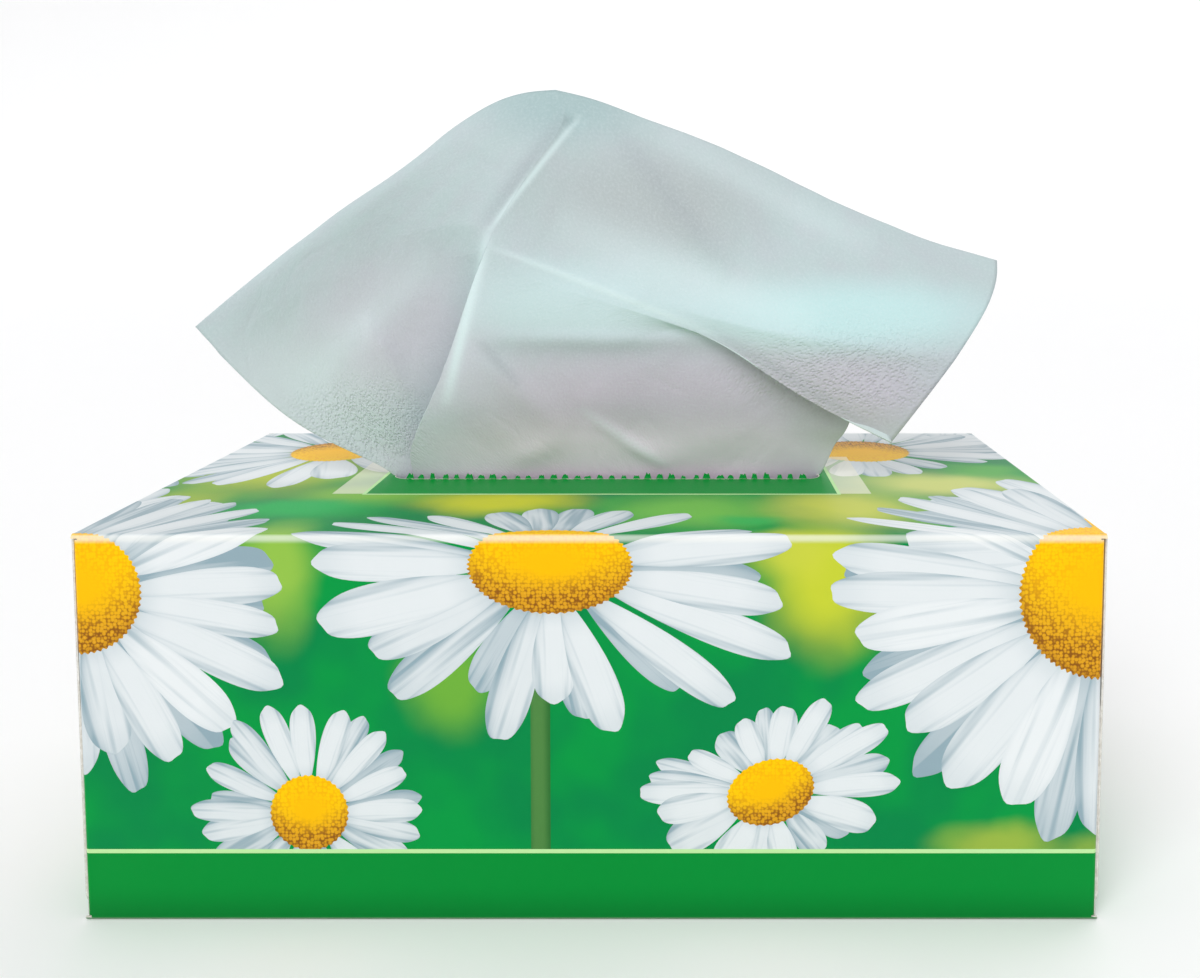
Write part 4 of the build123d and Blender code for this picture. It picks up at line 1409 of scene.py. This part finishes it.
def sweep_floor(radius, rise, rings=48, sides=96):
    """A round floor that turns up at its rim: flat to the radius, then a quarter circle up."""
    flat = radius * np.linspace(0.02, 1, rings // 2) ** 2
    a = np.linspace(0, math.pi / 2, rings - rings // 2)
    r = np.concatenate([flat, radius + rise * np.sin(a[1:])])
    z = np.concatenate([np.zeros(len(flat)), rise * (1 - np.cos(a[1:]))])
    turn = np.linspace(0, 2 * math.pi, sides, endpoint=False)
    level = np.outer(z, np.ones(sides))
    ring = np.stack([np.outer(r, np.cos(turn)), np.outer(r, np.sin(turn)), level], axis=2)
    first, second = np.arange(len(r) - 1)[:, None] * sides, np.arange(sides)
    corner = first + second
    beside = first + (second + 1) % sides
    quads = np.stack([corner, corner + sides, beside + sides, beside], axis=2).reshape(-1, 4)
    points = np.vstack([ring.reshape(-1, 3), [(0.0, 0.0, 0.0)]])
    middle = [[(index + 1) % sides, len(points) - 1, index] for index in range(sides)]
    return points, quads.tolist() + middle


def floor_material():
    """A plain floor, all but white."""
    shader = Shader("pale_floor")
    place = shader.place()
    cloud = shader.noise(place, 3.0, 3.0)
    colour = shader.mix(cloud * 0.3, rgb(252, 252, 252), rgb(246, 246, 246))
    return shader.finish(Base_Color=colour, Roughness=0.9, Specular_IOR_Level=0.1)


class TISSUEBOX_OT_studio(Operator):
    """Set up the floor, the lights and the camera"""

    bl_idname = "tissue_box.set_studio"
    bl_label = "Set the studio"

    def execute(self, context):
        studio, scene = context.scene.tissue_box_studio, context.scene
        points, faces = sweep_floor(studio.floor_radius / MM, FLOOR_RISE)
        floor = make_mesh("floor", points, faces, [floor_material()])
        scene.world = bpy.data.worlds.new("studio")
        scene.world.use_nodes = True
        backdrop = scene.world.node_tree.nodes["Background"]
        backdrop.inputs["Color"].default_value = SKY_COLOUR
        backdrop.inputs["Strength"].default_value = studio.sky
        sun_light("key_light", KEY_WAY, studio.key, studio.key_spread, KEY_COLOUR)
        sun_light("back_light", BACK_WAY, BACK_STRENGTH, BACK_SPREAD, BACK_COLOUR)
        camera = bpy.data.cameras.new("camera")
        camera.sensor_width = SENSOR_WIDTH
        camera.lens = studio.lens
        camera.shift_x, camera.shift_y = CAMERA_SHIFT
        seat = bpy.data.objects.new("camera", camera)
        seat.location = studio.camera_place
        seat.rotation_euler = (math.pi / 2 - studio.camera_tilt, 0.0, 0.0)
        scene.collection.objects.link(seat)
        scene.camera = seat
        scene.view_settings.view_transform = "Standard"
        return {"FINISHED"}


# ---- panel and registration ------------------------------------------------------------------
OPERATORS = (
    TISSUEBOX_OT_print,
    TISSUEBOX_OT_ties,
    TISSUEBOX_OT_stack,
    TISSUEBOX_OT_sheet,
    TISSUEBOX_OT_studio,
)
SETTINGS = (
    ("tissue_box_print", PrintSettings),
    ("tissue_box_tissue", TissueSettings),
    ("tissue_box_studio", StudioSettings),
)


class TISSUEBOX_PT_panel(Panel):
    """The operators and every setting, in the sidebar"""

    bl_idname = "TISSUEBOX_PT_panel"
    bl_label = "Tissue box"
    bl_space_type = "VIEW_3D"
    bl_region_type = "UI"
    bl_category = "Tissue box"

    def draw(self, context):
        for operator in OPERATORS:
            self.layout.operator(operator.bl_idname)
        for place, group in SETTINGS:
            column = self.layout.column()
            for name in group.__annotations__:
                column.prop(getattr(context.scene, place), name)


def register():
    """Adds the operators, the settings and the panel to Blender."""
    for kind in [group for _, group in SETTINGS] + [*OPERATORS, TISSUEBOX_PT_panel]:
        bpy.utils.register_class(kind)
    for place, group in SETTINGS:
        setattr(bpy.types.Scene, place, PointerProperty(type=group))


def unregister():
    """Takes them away again."""
    for place, _ in SETTINGS:
        delattr(bpy.types.Scene, place)
    for kind in [TISSUEBOX_PT_panel, *OPERATORS] + [group for _, group in SETTINGS]:
        bpy.utils.unregister_class(kind)


def main():
    """Builds everything."""
    register()
    bpy.ops.tissue_box.print_carton()
    bpy.ops.tissue_box.tear_ties()
    bpy.ops.tissue_box.stack_tissues()
    bpy.ops.tissue_box.pop_sheet()
    bpy.ops.tissue_box.set_studio()


if __name__ == "__main__":
    main()
